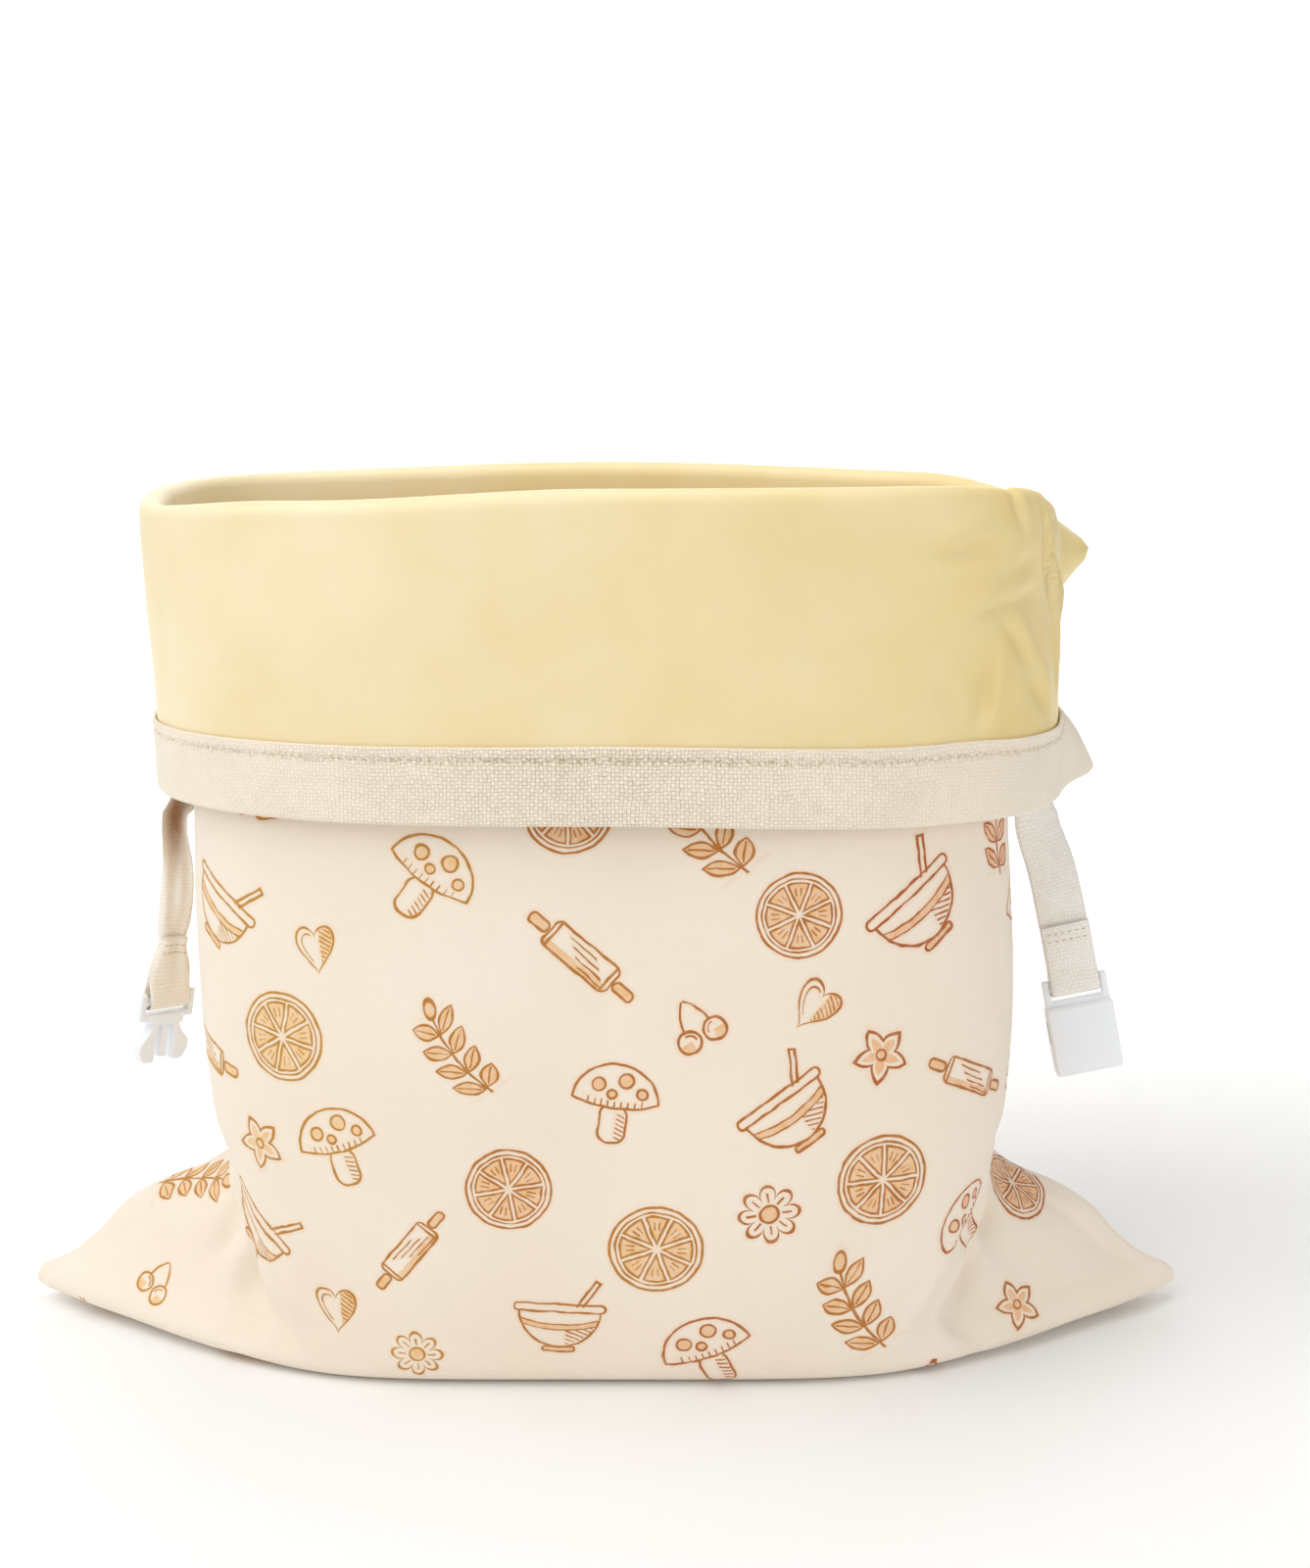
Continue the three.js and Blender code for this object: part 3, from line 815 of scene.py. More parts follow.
# Each motif as sums of x and y in millimetres: how far the nearest line of the drawing is, and how far
# the nearest tinted area. Less than 0 is inside it.
DRAWINGS: dict[Motif, dict[str, str]] = {
    Motif.ROLLING_PIN: {
        "pin": rounded_box("x", "y", 11.5, 4.2, 1.8),
        "grip": rounded_box("q-15.4", "y", 3.2, 1.5, 1.3),
        "neck": "max(abs(q-10),pin+0.5)",
        "grain": "max(abs(fract(y/1.7+0.02*x+0.2)-0.5)*1.7,max(abs(x-2+1.3*y)-4.5,pin+0.9))+0.14",
        "line": "min(min(abs(pin),abs(grip)),min(neck,grain))",
        "tint": "min(max(pin,y+1.9),grip)",
    },
    Motif.CITRUS: {
        "wedge": "min((0.5-abs(fract(turn*1.27324)-0.5))*0.7854*r-0.75,10.6-r)",
        "drops": "max(abs(fract(turn*5.0930)-0.5)*1.2*r/6,abs(r-7.6)-1.1)+0.2",
        "line": "min(min(abs(r-13.6),abs(r-11.9)+0.12),min(abs(wedge)+0.05,drops))",
        "tint": "-wedge",
    },
    Motif.BOWL: {
        "lip": rounded_box("x", "y-5.5", 15.0, 1.5, 1.4),
        "round": oval("x", "y-4", 13.2, 14.2),
        "foot": rounded_box("x", "y+11.2", 5.2, 1.0, 0.8),
        "stripe": "max(min(abs(y+1.2-0.014*x*x),abs(y+3.4-0.014*x*x)),round)+0.12",
        "shade": "max(abs(fract((x*0.45+y)/1.7)-0.5)*1.5,max(max(round+0.9,y+3.8-0.014*x*x),2.5-x))+0.16",
        "spoon": "max(abs((x-7)*0.86-(y-7)*0.5),abs((x-7)*0.5+(y-7)*0.86-4.5)-5)",
        "vessel": "min(min(abs(lip),max(abs(round),y-4)),min(abs(foot),stripe))",
        "line": "min(min(vessel,shade),max(abs(spoon-0.9),6.6-y))",
        "tint": "min(max(max(y+1.2-0.014*x*x,-(y+3.4-0.014*x*x)),round),foot)",
    },
    Motif.WHISK: {
        "handle": rounded_box("x", "y+11.2", 1.8, 6.0, 1.5),
        "collar": rounded_box("x", "y+4", 2.6, 0.9, 0.5),
        "loops": f"min(abs({oval('x', 'y-6.4', 2.4, 10.4)}),abs({oval('x', 'y-6.4', 5.0, 10.6)}))",
        "outer": f"abs({oval('x', 'y-6.4', 7.6, 10.8)})",
        "bands": "max(abs(fract(y/2.1)-0.5)*2.1,handle+0.5)+0.16",
        "line": "min(min(min(abs(handle),abs(collar)),bands),max(min(loops,outer),-y-3.6)+0.1)",
        "tint": "min(handle,collar)",
    },
    Motif.BRANCH: {
        "stem": "x-0.010*y*y+1.4",
        "m": "fract((y+17)/7.6)*7.6-0.5",
        "along": "(abs(stem)*0.766+m*0.643-5.2)/4.5",
        "across": "abs(abs(stem)*0.643-m*0.766)",
        "out": "max(-y-16.8,y-13.3)",
        "leaf": "max(across-2.3*(1-along*along),(abs(along)-1)*4.5)",
        "rib": "max(across,(abs(along)-0.7)*4.5)+0.15",
        "bud": oval("stem-0.2", "y-15.2", 2.0, 3.1),
        "line": "min(max(min(abs(leaf),rib),out),min(abs(bud),max(abs(stem),max(-y-18,y-12.2))))",
        "tint": "min(max(leaf,out),bud)",
    },
    Motif.MUSHROOM: {
        "cap": oval("x", "y", 14, 12.5),
        "brim": "y-0.2+2.8*(1-x*x/196)",
        "stalk": rounded_box("x", "y+8", 4.4, 6.4, 3.4),
        "spots": "min(sqrt((x+6)**2+(y-5)**2)-2.2,sqrt((x-3)**2+(y-7.2)**2)-2.4)",
        "specks": "min(sqrt((x-8.6)**2+(y-3.2)**2)-1.7,sqrt((x+1.2)**2+(y-2.2)**2)-1.5)",
        "gills": "max(abs(fract(x/2.2+0.5)-0.5)*2.2,max(abs(y-1.5+2.8*(1-x*x/196))-0.8,q-10))+0.16",
        "shade": "max(abs(fract((y+x*0.4)/1.6)-0.5)*1.5,max(max(stalk+0.8,brim+1.6),1.2-x))+0.16",
        "outline": "min(max(abs(cap),-brim),max(abs(brim),cap))",
        "line": "min(min(outline,max(abs(stalk),brim)),min(min(abs(spots),abs(specks)),min(gills,shade)))",
        "tint": "min(spots,specks)",
    },
    Motif.DAISY: {
        "petal": "(r-4.2-4.4*sqrt(abs(cos(turn*4))))*0.8",
        "vein": "max(abs(fract(turn*1.27324+0.5)-0.5)*0.7854*r,abs(r-5.0)-1.1)+0.14",
        "line": "min(min(abs(petal),vein),abs(r-2.6))",
        "tint": "r-2.6",
    },
    Motif.HEART: {
        "hollow": "sqrt(x*x+(y*1.1-2.6*sqrt(q)+2.2)**2)-6.7",
        "shade": "max(abs(fract((y+x*0.6)/1.6)-0.5)*1.4,max(hollow+0.9,2.0-x))+0.16",
        "line": "min(min(abs(hollow),max(abs(hollow+1.9),x+1.6)+0.12),shade)",
        "tint": "max(hollow,1.5-x)",
    },
    Motif.STAR: {
        "point": "abs(fract(turn*0.795775+0.25)-0.5)*1.2566",
        "line": "min(abs((r-8.4+6.8*point)*0.62),abs(r-1.5)+0.1)",
        "tint": "(r-8.4+6.8*point)*0.62+1.4",
    },
    Motif.CHERRIES: {
        "fruit": "sqrt((q-4)**2+(y+4)**2)-3.3",
        "stalk": "max(abs(q-3.9+0.055*(y+1)*(y+1)),max(-y-0.8,y-6.8))",
        "gleam": "max(abs(sqrt((q-4)**2+(y+4)**2)-2.1),max(-y-4,q-4))+0.14",
        "line": "min(min(abs(fruit),stalk),gleam)",
        "tint": "max(fruit,max(y+4,3.4-q))",
    },
}


def new_material(name: str) -> tuple[Material, NodeTree, Node, NodeSocket]:
    """A material to build on.

    Args:
        name: the material's name.

    Returns:
        The material, its node tree, its shader and the Object coordinates.
    """
    material = bpy.data.materials.new(name)
    material.use_nodes = True
    tree = material.node_tree
    return material, tree, tree.nodes["Principled BSDF"], add_node(tree, "TexCoord").outputs["Object"]


def blend(tree: NodeTree, share: object, low: object, high: object) -> NodeSocket:
    """A colour between two others, each a hex colour or a node's output."""
    ends = {n: colour(c) if isinstance(c, str) else c for n, c in ((6, low), (7, high))}
    return add_node(tree, "Mix", {0: share, **ends}, {"data_type": "RGBA"}).outputs[2]


@dataclass(frozen=True)
class PrintedCotton:
    """Plain-woven cotton, screen-printed with line drawings: a matt cream ground with a faint thread grain,
    and thin uneven ink that goes from ochre to orange-brown across the cloth and bleeds a little."""

    ground: str = "#fbefe1"
    shade: str = "#f5e7d4"
    ochre: str = "#c18a2f"
    brown: str = "#ae5a20"
    ochre_wash: str = "#efbd72"
    brown_wash: str = "#e9a663"
    half_line: float = 0.4
    wobble: float = 0.9
    roughness: float = 0.82
    sheen: float = 0.15
    # Threads lie about 0.35 mm apart on the real cloth and are drawn 0.7 mm apart, so that they show
    thread: float = 0.7
    thread_high: float = 0.00008
    # Noise, as spots in a metre: the line's wobble, the ink's unevenness and the ground's clouds
    wobble_scale: float = 210.0
    press_scale: float = 420.0
    cloud_scale: float = 14.0
    # How far off, in millimetres, a place is from every drawing but its own
    apart: int = 60

    def drawing(self, sums: Sums) -> None:
        """Adds the distances to the nearest line and tint of the print, in millimetres.

        Args:
            sums: the material's sums, which know the place on the drawing, its kind and the noise.
        """
        sums.let(x="px+(wob1-0.5)*wob", y="py+(wob2-0.5)*wob")
        sums.let(q="abs(x)", r="sqrt(x*x+y*y)", turn="direction(y,x)")
        nearest = {"line": None, "tint": None}
        for motif, drawing in DRAWINGS.items():
            sums.let(**drawing)
            sums.let(other=f"abs(kind-{motif.number})*{self.apart}")
            for name in nearest:
                sums.let(this=f"{name}+other")
                if nearest[name] is not None:
                    sums.known["best"] = nearest[name]
                    sums.let(this="min(best,this)")
                nearest[name] = sums.known["this"]
        sums.known.update(nearest)

    def make(self) -> Material:
        """Mixes the cloth and its ink from the attributes motif and tone and the cloth's own UV map.

        Returns:
            The material.
        """
        material, tree, shader, place = new_material("printed cotton")
        sums = Sums(tree)
        motif = add_node(tree, "Attribute", settings={"attribute_name": "motif"})
        tone = add_node(tree, "Attribute", settings={"attribute_name": "tone"})
        axes = add_node(tree, "SeparateXYZ", {0: motif.outputs["Vector"]})
        spot = add_node(tree, "SeparateXYZ", {0: place})
        flat = add_node(tree, "UVMap", settings={"uv_map": "cloth"}).outputs[0]
        cloth = add_node(tree, "SeparateXYZ", {0: flat})
        shake, press, cloud = (
            add_node(tree, "TexNoise", {"Vector": place, "Scale": scale, "Detail": detail})
            for scale, detail in ((self.wobble_scale, 1.0), (self.press_scale, 2.0), (self.cloud_scale, 3.0))
        )
        shaken = add_node(tree, "SeparateXYZ", {0: shake.outputs["Color"]})
        sums.known.update(px=axes.outputs["X"], py=axes.outputs["Y"], kind=axes.outputs["Z"])
        sums.known.update(wob1=shaken.outputs["X"], wob2=shaken.outputs["Y"], wob=self.wobble)
        sums.known.update(press=press.outputs["Fac"], cloud=cloud.outputs["Fac"], tone=tone.outputs["Fac"])
        sums.known.update(side=spot.outputs["X"], u=cloth.outputs["X"], v=cloth.outputs["Y"])
        self.drawing(sums)
        turn = math.pi / self.thread * 1000
        sums.let(
            ink=f"clamp(({self.half_line}+(wob1-0.5)*0.5-line)*7+0.5)*(0.72+press*0.5)",
            bleed="clamp(1-line*0.55)*0.3",
            fill="max(clamp(0.5-tint*4)*(0.3+press*0.75),bleed)",
            across="clamp(side*3.2+0.5+(tone-0.5)*0.45)",
            mottle="clamp((cloud-0.35)*1.6)",
            weave=f"abs(sin(u*{turn}))*abs(sin(v*{turn}))",
        )
        ground = blend(tree, sums.known["mottle"], self.shade, self.ground)
        ink = blend(tree, sums.known["across"], self.ochre, self.brown)
        wash = blend(tree, sums.known["across"], self.ochre_wash, self.brown_wash)
        printed = blend(tree, sums.known["ink"], blend(tree, sums.known["fill"], ground, wash), ink)
        relief = {"Strength": 0.35, "Distance": self.thread_high, "Height": sums.known["weave"]}
        normal = add_node(tree, "Bump", relief).outputs[0]
        feed(tree, shader, {"Base Color": printed, "Normal": normal, "Roughness": self.roughness})
        feed(tree, shader, {"Sheen Weight": self.sheen})
        return material


@dataclass(frozen=True)
class WaxedCotton:
    """Thin cotton impregnated with beeswax: pale yellow, a soft satin from its waxy film, slightly cloudy
    where the beeswax lies thicker, with a fine ripple that breaks the shine. A painted shade darkens it
    towards the bag's right side and a painted light brightens it towards the left."""

    thick: str = "#ebd084"
    thin: str = "#faebc6"
    roughness: float = 0.42
    ior: float = 1.44
    cloud_mm: float = 45.0
    ripple_mm: float = 3.5
    ripple_high: float = 0.00025

    def make(self) -> Material:
        """Mixes the beeswax film, its clouds and ripples sized in millimetres in object space, and a painted
        shade from the bag's left to its right.

        Returns:
            The material.
        """
        material, tree, shader, place = new_material("beeswaxed cotton")
        sums = Sums(tree)
        inputs = {"Vector": place, "Scale": 1000 / self.cloud_mm, "Detail": 4.0, "Roughness": 0.55}
        cloud = add_node(tree, "TexNoise", inputs)
        inputs = {"Vector": place, "Scale": 1000 / self.ripple_mm, "Detail": 3.0}
        ripple = add_node(tree, "TexNoise", inputs)
        spot = add_node(tree, "SeparateXYZ", {0: place})
        sums.known.update(cloud=cloud.outputs["Fac"], ripple=ripple.outputs["Fac"], side=spot.outputs["X"])
        sums.let(
            # First sum: random clouds of thicker beeswax, and a painted shade (the side term) that darkens
            # the lining towards the bag's right and lightens it towards the left.
            wax="clamp((cloud-0.3)*0.9+0.42-side*2.2)",
            gloss=f"{self.roughness}+(cloud-0.5)*0.25+(ripple-0.5)*0.12",
        )
        film = blend(tree, sums.known["wax"], self.thick, self.thin)
        relief = {"Strength": 0.25, "Distance": self.ripple_high, "Height": sums.known["ripple"]}
        normal = add_node(tree, "Bump", relief).outputs[0]
        feed(tree, shader, {"Base Color": film, "Normal": normal, "IOR": self.ior})
        feed(tree, shader, {"Roughness": sums.known["gloss"]})
        return material


@dataclass(frozen=True)
class WovenCotton:
    """Undyed cotton in a coarse plain weave: thread squares that catch the light, with fine dark gaps
    between them and slubs where a thread runs thick."""

    name: str
    light: str
    dark: str
    across_mm: float
    along_mm: float
    depth: float = 0.00022
    roughness: float = 0.9
    sheen: float = 0.2
    # Noise, as spots in a metre: slubs in the threads, patches of uneven weave and single fibres
    slub_scale: float = 330.0
    patch_scale: float = 45.0
    fibre_scale: float = 900.0
    # The weave is flattened and paler towards the bag's sides; 0 keeps it even
    pressed: float = 0.0
    # How far the line of stitches lies from the woven edge; beyond the tape where there is none
    seam_mm: float = -9.0
    # The colour of a painted shade that browns the webbing in the hollow of its curl
    stain: str = ""

    def make(self) -> Material:
        """Weaves the threads along the piece's UV map in metres.

        Returns:
            The material.
        """
        material, tree, shader, place = new_material(self.name)
        sums = Sums(tree)
        cloth = add_node(tree, "UVMap", settings={"uv_map": "cloth"}).outputs[0]
        axes = add_node(tree, "SeparateXYZ", {0: cloth})
        scales = {"slub": (self.slub_scale, 2.0), "patch": (self.patch_scale, 2.0)}
        scales["rough"] = (self.fibre_scale, 1.0)
        for name, (scale, detail) in scales.items():
            noise = add_node(tree, "TexNoise", {"Vector": cloth, "Scale": scale, "Detail": detail})
            sums.known[name] = noise.outputs["Fac"]
        spot = add_node(tree, "SeparateXYZ", {0: place})
        sums.known.update(u=axes.outputs["X"], v=axes.outputs["Y"], side=spot.outputs["X"])
        sums.let(
            flat=f"clamp(abs(side)*{7.5 * self.pressed}-{0.12 * self.pressed})",
            drift="(slub-0.5)*0.0009+(patch-0.5)*0.0035",
            a=f"(u+drift)*{1000 * math.pi / self.across_mm}",
            b=f"(v+drift)*{1000 * math.pi / self.along_mm}",
            # gap_a to woven: the weave's relief painted into its colour, the thread tops painted light and
            # the gaps between them painted dark as their shade.
            gap_a="clamp(abs(sin(a))*3.6-0.1-(rough-0.5)*1.7)",
            gap_b="clamp(abs(sin(b))*3.6-0.1+(rough-0.5)*1.7)",
            over="0.5+0.5*sin(a)*sin(b)",
            height="min(gap_a,gap_b)*(0.7+0.3*over)",
            woven="height*0.9+(slub-0.5)*0.5+0.12",
            # edge: a painted highlight along the first millimetre of the UV map's length, which on the tape
            # is its folded upper edge.
            edge="clamp(1.7-v*1500)",
            # Dark dashes along the line of stitches: painted shade of the stitch holes and their groove,
            # weaker towards the sides.
            stitched=f"clamp(1.3-abs(v*1000-{self.seam_mm})*0.7)*clamp((rough-0.44)*6)*(0.6-0.35*flat)",
            pale="clamp(max(woven*(1-flat)+0.95*flat+(patch-0.5)*0.25-stitched,edge))",
        )
        thread = blend(tree, sums.known["pale"], self.dark, self.light)
        # Where a shade colour is given, a painted shade browns the webbing through the hollow attribute,
        # where its curl lies in shade.
        if self.stain:
            hollow = add_node(tree, "Attribute", settings={"attribute_name": "hollow"})
            sums.known["hollow"] = hollow.outputs["Fac"]
            sums.let(soaked="clamp(hollow*(0.95+(patch-0.5)*0.9+(slub-0.5)*0.4))")
            thread = blend(tree, sums.known["soaked"], thread, self.stain)
        relief = {"Strength": 0.5, "Distance": self.depth, "Height": sums.known["height"]}
        normal = add_node(tree, "Bump", relief).outputs[0]
        feed(tree, shader, {"Base Color": thread, "Normal": normal, "Roughness": self.roughness})
        feed(tree, shader, {"Sheen Weight": self.sheen})
        return material


@dataclass(frozen=True)
class MouldedPlastic:
    """Injection-moulded polypropylene in natural white: smooth, a little waxy, with light that gets in
    at its thin edges and a very fine texture from the mould."""

    body: str = "#f6faff"
    roughness: float = 0.34
    ior: float = 1.49
    grain_mm: float = 0.6
    grain_high: float = 0.0001
    subsurface: float = 0.25
    glow_deep: float = 0.002

    def make(self) -> Material:
        """Mixes the plastic, its mould grain in object space.

        Returns:
            The material.
        """
        material, tree, shader, place = new_material("white polypropylene")
        inputs = {"Vector": place, "Scale": 1000 / self.grain_mm, "Detail": 2.0}
        grain = add_node(tree, "TexNoise", inputs)
        relief = {"Strength": 0.15, "Distance": self.grain_high, "Height": grain.outputs["Fac"]}
        normal = add_node(tree, "Bump", relief).outputs[0]
        feed(tree, shader, {"Base Color": colour(self.body), "Normal": normal, "Roughness": self.roughness})
        feed(tree, shader, {"IOR": self.ior, "Subsurface Weight": self.subsurface, "Subsurface Scale": 1.0})
        feed(tree, shader, {"Subsurface Radius": (self.glow_deep, self.glow_deep, self.glow_deep)})
        return material


@dataclass(frozen=True)
class SewingThread:
    """Spun polyester thread, undyed: a tight twist that shows as fine slanting bands."""

    pale: str = "#efe2cd"
    deep: str = "#cdb998"
    twist_mm: float = 0.45
    wave_radians: float = 6.28
    roughness: float = 0.6

    def make(self) -> Material:
        """Mixes the thread, its twist in object space.

        Returns:
            The material.
        """
        material, tree, shader, place = new_material("spun polyester thread")
        settings = {"wave_type": "BANDS", "bands_direction": "DIAGONAL"}
        inputs = {"Vector": place, "Scale": 1000 / self.twist_mm / self.wave_radians}
        twist = add_node(tree, "TexWave", inputs, settings)
        ply = blend(tree, twist.outputs["Fac"], self.deep, self.pale)
        feed(tree, shader, {"Base Color": ply, "Roughness": self.roughness})
        return material


@dataclass(frozen=True)
class StudioPaper:
    """Background paper: near white and matt."""

    pale: str = "#f9f9f8"
    roughness: float = 0.9
    fibre_scale: float = 900.0
    fibre_high: float = 0.0001

    def make(self) -> Material:
        """Mixes the paper, with a fibre grain too faint to see from the camera.

        Returns:
            The material.
        """
        material, tree, shader, place = new_material("studio paper")
        fibre = add_node(tree, "TexNoise", {"Vector": place, "Scale": self.fibre_scale})
        relief = {"Strength": 0.05, "Distance": self.fibre_high, "Height": fibre.outputs["Fac"]}
        normal = add_node(tree, "Bump", relief).outputs[0]
        feed(tree, shader, {"Base Color": colour(self.pale), "Normal": normal, "Roughness": self.roughness})
        return material


def facing_out(points: Array, faces: list) -> list:
    """The faces of a closed body, turned round if they point inwards.

    Args:
        points: the body's points.
        faces: the point numbers of each face.

    Returns:
        The faces, all pointing outwards.
    """
    fans = ((points[f[0]], points[b], points[c]) for f in faces for b, c in zip(f[1:-1], f[2:]))
    volume = sum(float(np.dot(first, np.cross(second, third))) for first, second, third in fans)
    return faces if volume > 0 else [tuple(reversed(face)) for face in faces]


def write_uv(piece: Object, places: Array) -> None:
    """Keeps each vertex's place on the flat cloth as the UV map that weaves follow.

    Args:
        piece: the mesh object.
        places: two lengths along the cloth for each vertex, in metres. Where a face reaches from the end
            of a closed band to its start, its corners are carried on past the end.
    """
    layer = piece.data.uv_layers.new(name="cloth")
    total = read_all(piece.data.polygons, "loop_total", np.int64)
    spread = places[read_all(piece.data.loops, "vertex_index", np.int64)]
    first = np.repeat(np.cumsum(total) - total, total)
    whole = places.max(axis=0)
    behind = spread - spread[first]
    spread = spread + whole * (behind < -whole / 2) - whole * (behind > whole / 2)
    layer.data.foreach_set("uv", spread.astype(np.float32).ravel())


def running_length(points: Array, axis: int) -> Array:
    """How far along a grid of points each one lies, in metres, summed along one way of the grid."""
    step = np.diff(points, axis=axis, prepend=np.take(points, [0], axis=axis))
    return np.cumsum(np.linalg.norm(step, axis=-1), axis=axis) * MM


def present(piece: Object, material: Material, node: str = "") -> None:
    """Gives a piece its material, hangs it on the bag's body and hides the CAD node that it takes the place
    of.

    Args:
        piece: the piece.
        material: its material.
        node: the CAD node that it takes the place of, if it does.
    """
    piece.data.materials.clear()
    piece.data.materials.append(material)
    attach(piece, BODY)
    if node:
        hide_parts(node)


def flat_places(across: Array, along: Array) -> Array:
    """A row for each point of a grid: how far across and how far along the flat cloth it lies."""
    return np.stack(np.broadcast_arrays(across[None, :], along[:, None]), axis=-1).reshape(-1, 2)


@dataclass
class Stamp:
    """One drawing of the print where it lies on the cloth."""

    centre: Array
    normal: Array
    right: Array
    up: Array
    motif: Motif
    scale: float
    tone: float

    @property
    def reach(self) -> float:
        """Half the drawing's size in millimetres."""
        return self.motif.value * self.scale


@dataclass
class PrintLayout:
    """Tosses the drawings over the cloth, large ones first and small ones in the gaps.

    It knows places on the printed face in millimetres, the face's normals and the way up the cloth there."""

    points: Array
    normals: Array
    rise: Array
    seed: int = 23
    tries: int = 9000
    clear: float = 6.5
    lean: float = 48.0
    smallest: float = 0.9
    largest: float = 1.08
    # How level the cloth is under a drawing, as a cosine, and over what share of the drawing
    level: float = 0.72
    whole: float = 0.97
    # A face takes no drawing that faces another way than this cosine
    same_way: float = 0.2
    # Where ink is never reached, in millimetres, and the tone there
    blank: float = 200.0
    blank_tone: float = 0.5
    # How far off a motif counts that isn't there yet, in millimetres
    unseen: float = 900.0
    stamps: list[Stamp] = field(default_factory=list)

    def toss(self) -> None:
        """Fills the cloth with stamps."""
        chance = random.Random(self.seed)
        order = chance.sample(range(len(self.points)), min(self.tries, len(self.points)))
        for small in (False, True):
            for i in order:
                point, normal = self.points[i], self.normals[i]
                motif = self.rarest(point, small, chance)
                scale = chance.uniform(self.smallest, self.largest)
                near = motif.value * scale + self.clear
                if any(math.dist(point, stamp.centre) < near + stamp.reach for stamp in self.stamps):
                    continue
                if not self.lies_flat(i, near - self.clear):
                    continue
                lean = math.radians(chance.uniform(-self.lean, self.lean))
                up = unit(self.rise[i] - normal * np.dot(self.rise[i], normal))
                right = np.cross(up, normal)
                turned = up * math.cos(lean) + right * math.sin(lean)
                across = np.cross(turned, normal)
                self.stamps.append(Stamp(point, normal, across, turned, motif, scale, chance.random()))

    def lies_flat(self, i: int, reach: float) -> bool:
        """Whether the cloth round a place faces one way well enough to take a drawing whole.

        Args:
            i: the number of the place.
            reach: half the drawing's size.

        Returns:
            True if hardly any of the cloth within reach turns far from the place's own normal.
        """
        close = np.linalg.norm(self.points - self.points[i], axis=1) < reach
        facing = self.normals[close] @ self.normals[i]
        return float(np.mean(facing > self.level)) > self.whole

    def rarest(self, point: Array, small: bool, chance: random.Random) -> Motif:
        """The motif whose nearest like lies farthest from a place.

        Args:
            point: the place, in millimetres.
            small: whether a small motif is wanted or a large one.
            chance: the random draws, which choose between motifs that aren't there yet.

        Returns:
            The motif.
        """
        far = {motif: self.unseen + chance.random() for motif in Motif if motif.small is small}
        for stamp in self.stamps:
            if stamp.motif in far:
                far[stamp.motif] = min(far[stamp.motif], math.dist(point, stamp.centre))
        return max(far, key=far.get)

    def press(self, piece: Object, printed: Array) -> None:
        """Writes each face's place on its nearest drawing as the attributes that the ink reads.

        Args:
            piece: the printed cloth.
            printed: whether each vertex lies on the printed face.
        """
        mesh = piece.data
        corner = read_all(mesh.loops, "vertex_index", np.int64)
        total = read_all(mesh.polygons, "loop_total", np.int64)
        owner = np.repeat(np.arange(len(total)), total)
        place = read_all(mesh.vertices, "co", np.float32, 3) / MM
        middle = read_all(mesh.polygons, "center", np.float32, 3) / MM
        facing = read_all(mesh.polygons, "normal", np.float32, 3)
        best = np.full(len(total), FAR)
        chosen = np.full(len(total), -1)
        for number, stamp in enumerate(self.stamps):
            away = np.linalg.norm(middle - stamp.centre, axis=1) - stamp.reach
            away[facing @ stamp.normal < self.same_way] = FAR
            nearer = away < best
            best[nearer], chosen[nearer] = away[nearer], number
        shows = np.bincount(owner, weights=printed[corner], minlength=len(total)) == total
        chosen[~shows] = -1
        drawn = np.full((len(corner), 3), self.blank, np.float32)
        tone = np.full(len(corner), self.blank_tone, np.float32)
        for number, stamp in enumerate(self.stamps):
            mine = chosen[owner] == number
            offset = (place[corner[mine]] - stamp.centre) / stamp.scale
            drawn[mine, 0] = offset @ stamp.right
            drawn[mine, 1] = offset @ stamp.up
            drawn[mine, 2] = stamp.motif.number
            tone[mine] = stamp.tone
        mesh.attributes.new("motif", "FLOAT_VECTOR", "CORNER").data.foreach_set("vector", drawn.ravel())
        mesh.attributes.new("tone", "FLOAT", "CORNER").data.foreach_set("value", tone)


@dataclass
class ClothLayer:
    """One layer of the bag as a thin closed sheet: base, wall, turn over the rim and cuff."""

    name: str
    slot: str
    near: float
    far: float
    flat: tuple[float, float] = (0.76, 0.43)

    def build(self, shape: BagShape, sheet: Patch) -> Object:
        """Makes the layer between two depths behind the printed face.

        Args:
            shape: the bag's form; not used.
            sheet: the printed face.

        Returns:
            The layer's mesh object, with its UV map.
        """
        rows, columns = sheet.points.shape[:2]
        size = rows * columns
        faces_of = (sheet.at_depth(self.near), sheet.at_depth(self.far))
        middles = [[0.0, 0.0, layer[0, :, 2].mean()] for layer in faces_of]
        points = np.concatenate([layer.reshape(-1, 3) for layer in faces_of] + [np.array(middles)])
        grid = grid_faces(rows, columns)
        faces = [tuple(f) for f in grid] + [tuple(size + i for i in reversed(f)) for f in grid]
        last = (rows - 1) * columns
        for j in range(columns):
            k = (j + 1) % columns
            faces.append((2 * size, k, j))
            faces.append((2 * size + 1, size + j, size + k))
            faces.append((last + j, last + k, size + last + k, size + last + j))
        piece = add_mesh(self.name, points, faces)
        # On the flat cloth: round from one level of the wall, and up from one column
        round_it = running_length(sheet.points[rows // 3], 0)
        flat = flat_places(round_it, running_length(sheet.points[:, columns // 2], 0))
        write_uv(piece, np.concatenate([flat, flat, np.zeros((2, 2))]))
        return piece

    def dress(self, piece: Object, material: Material) -> None:
        """Gives the layer its cloth and hangs it on the bag's body in place of its CAD node."""
        present(piece, material, self.name)


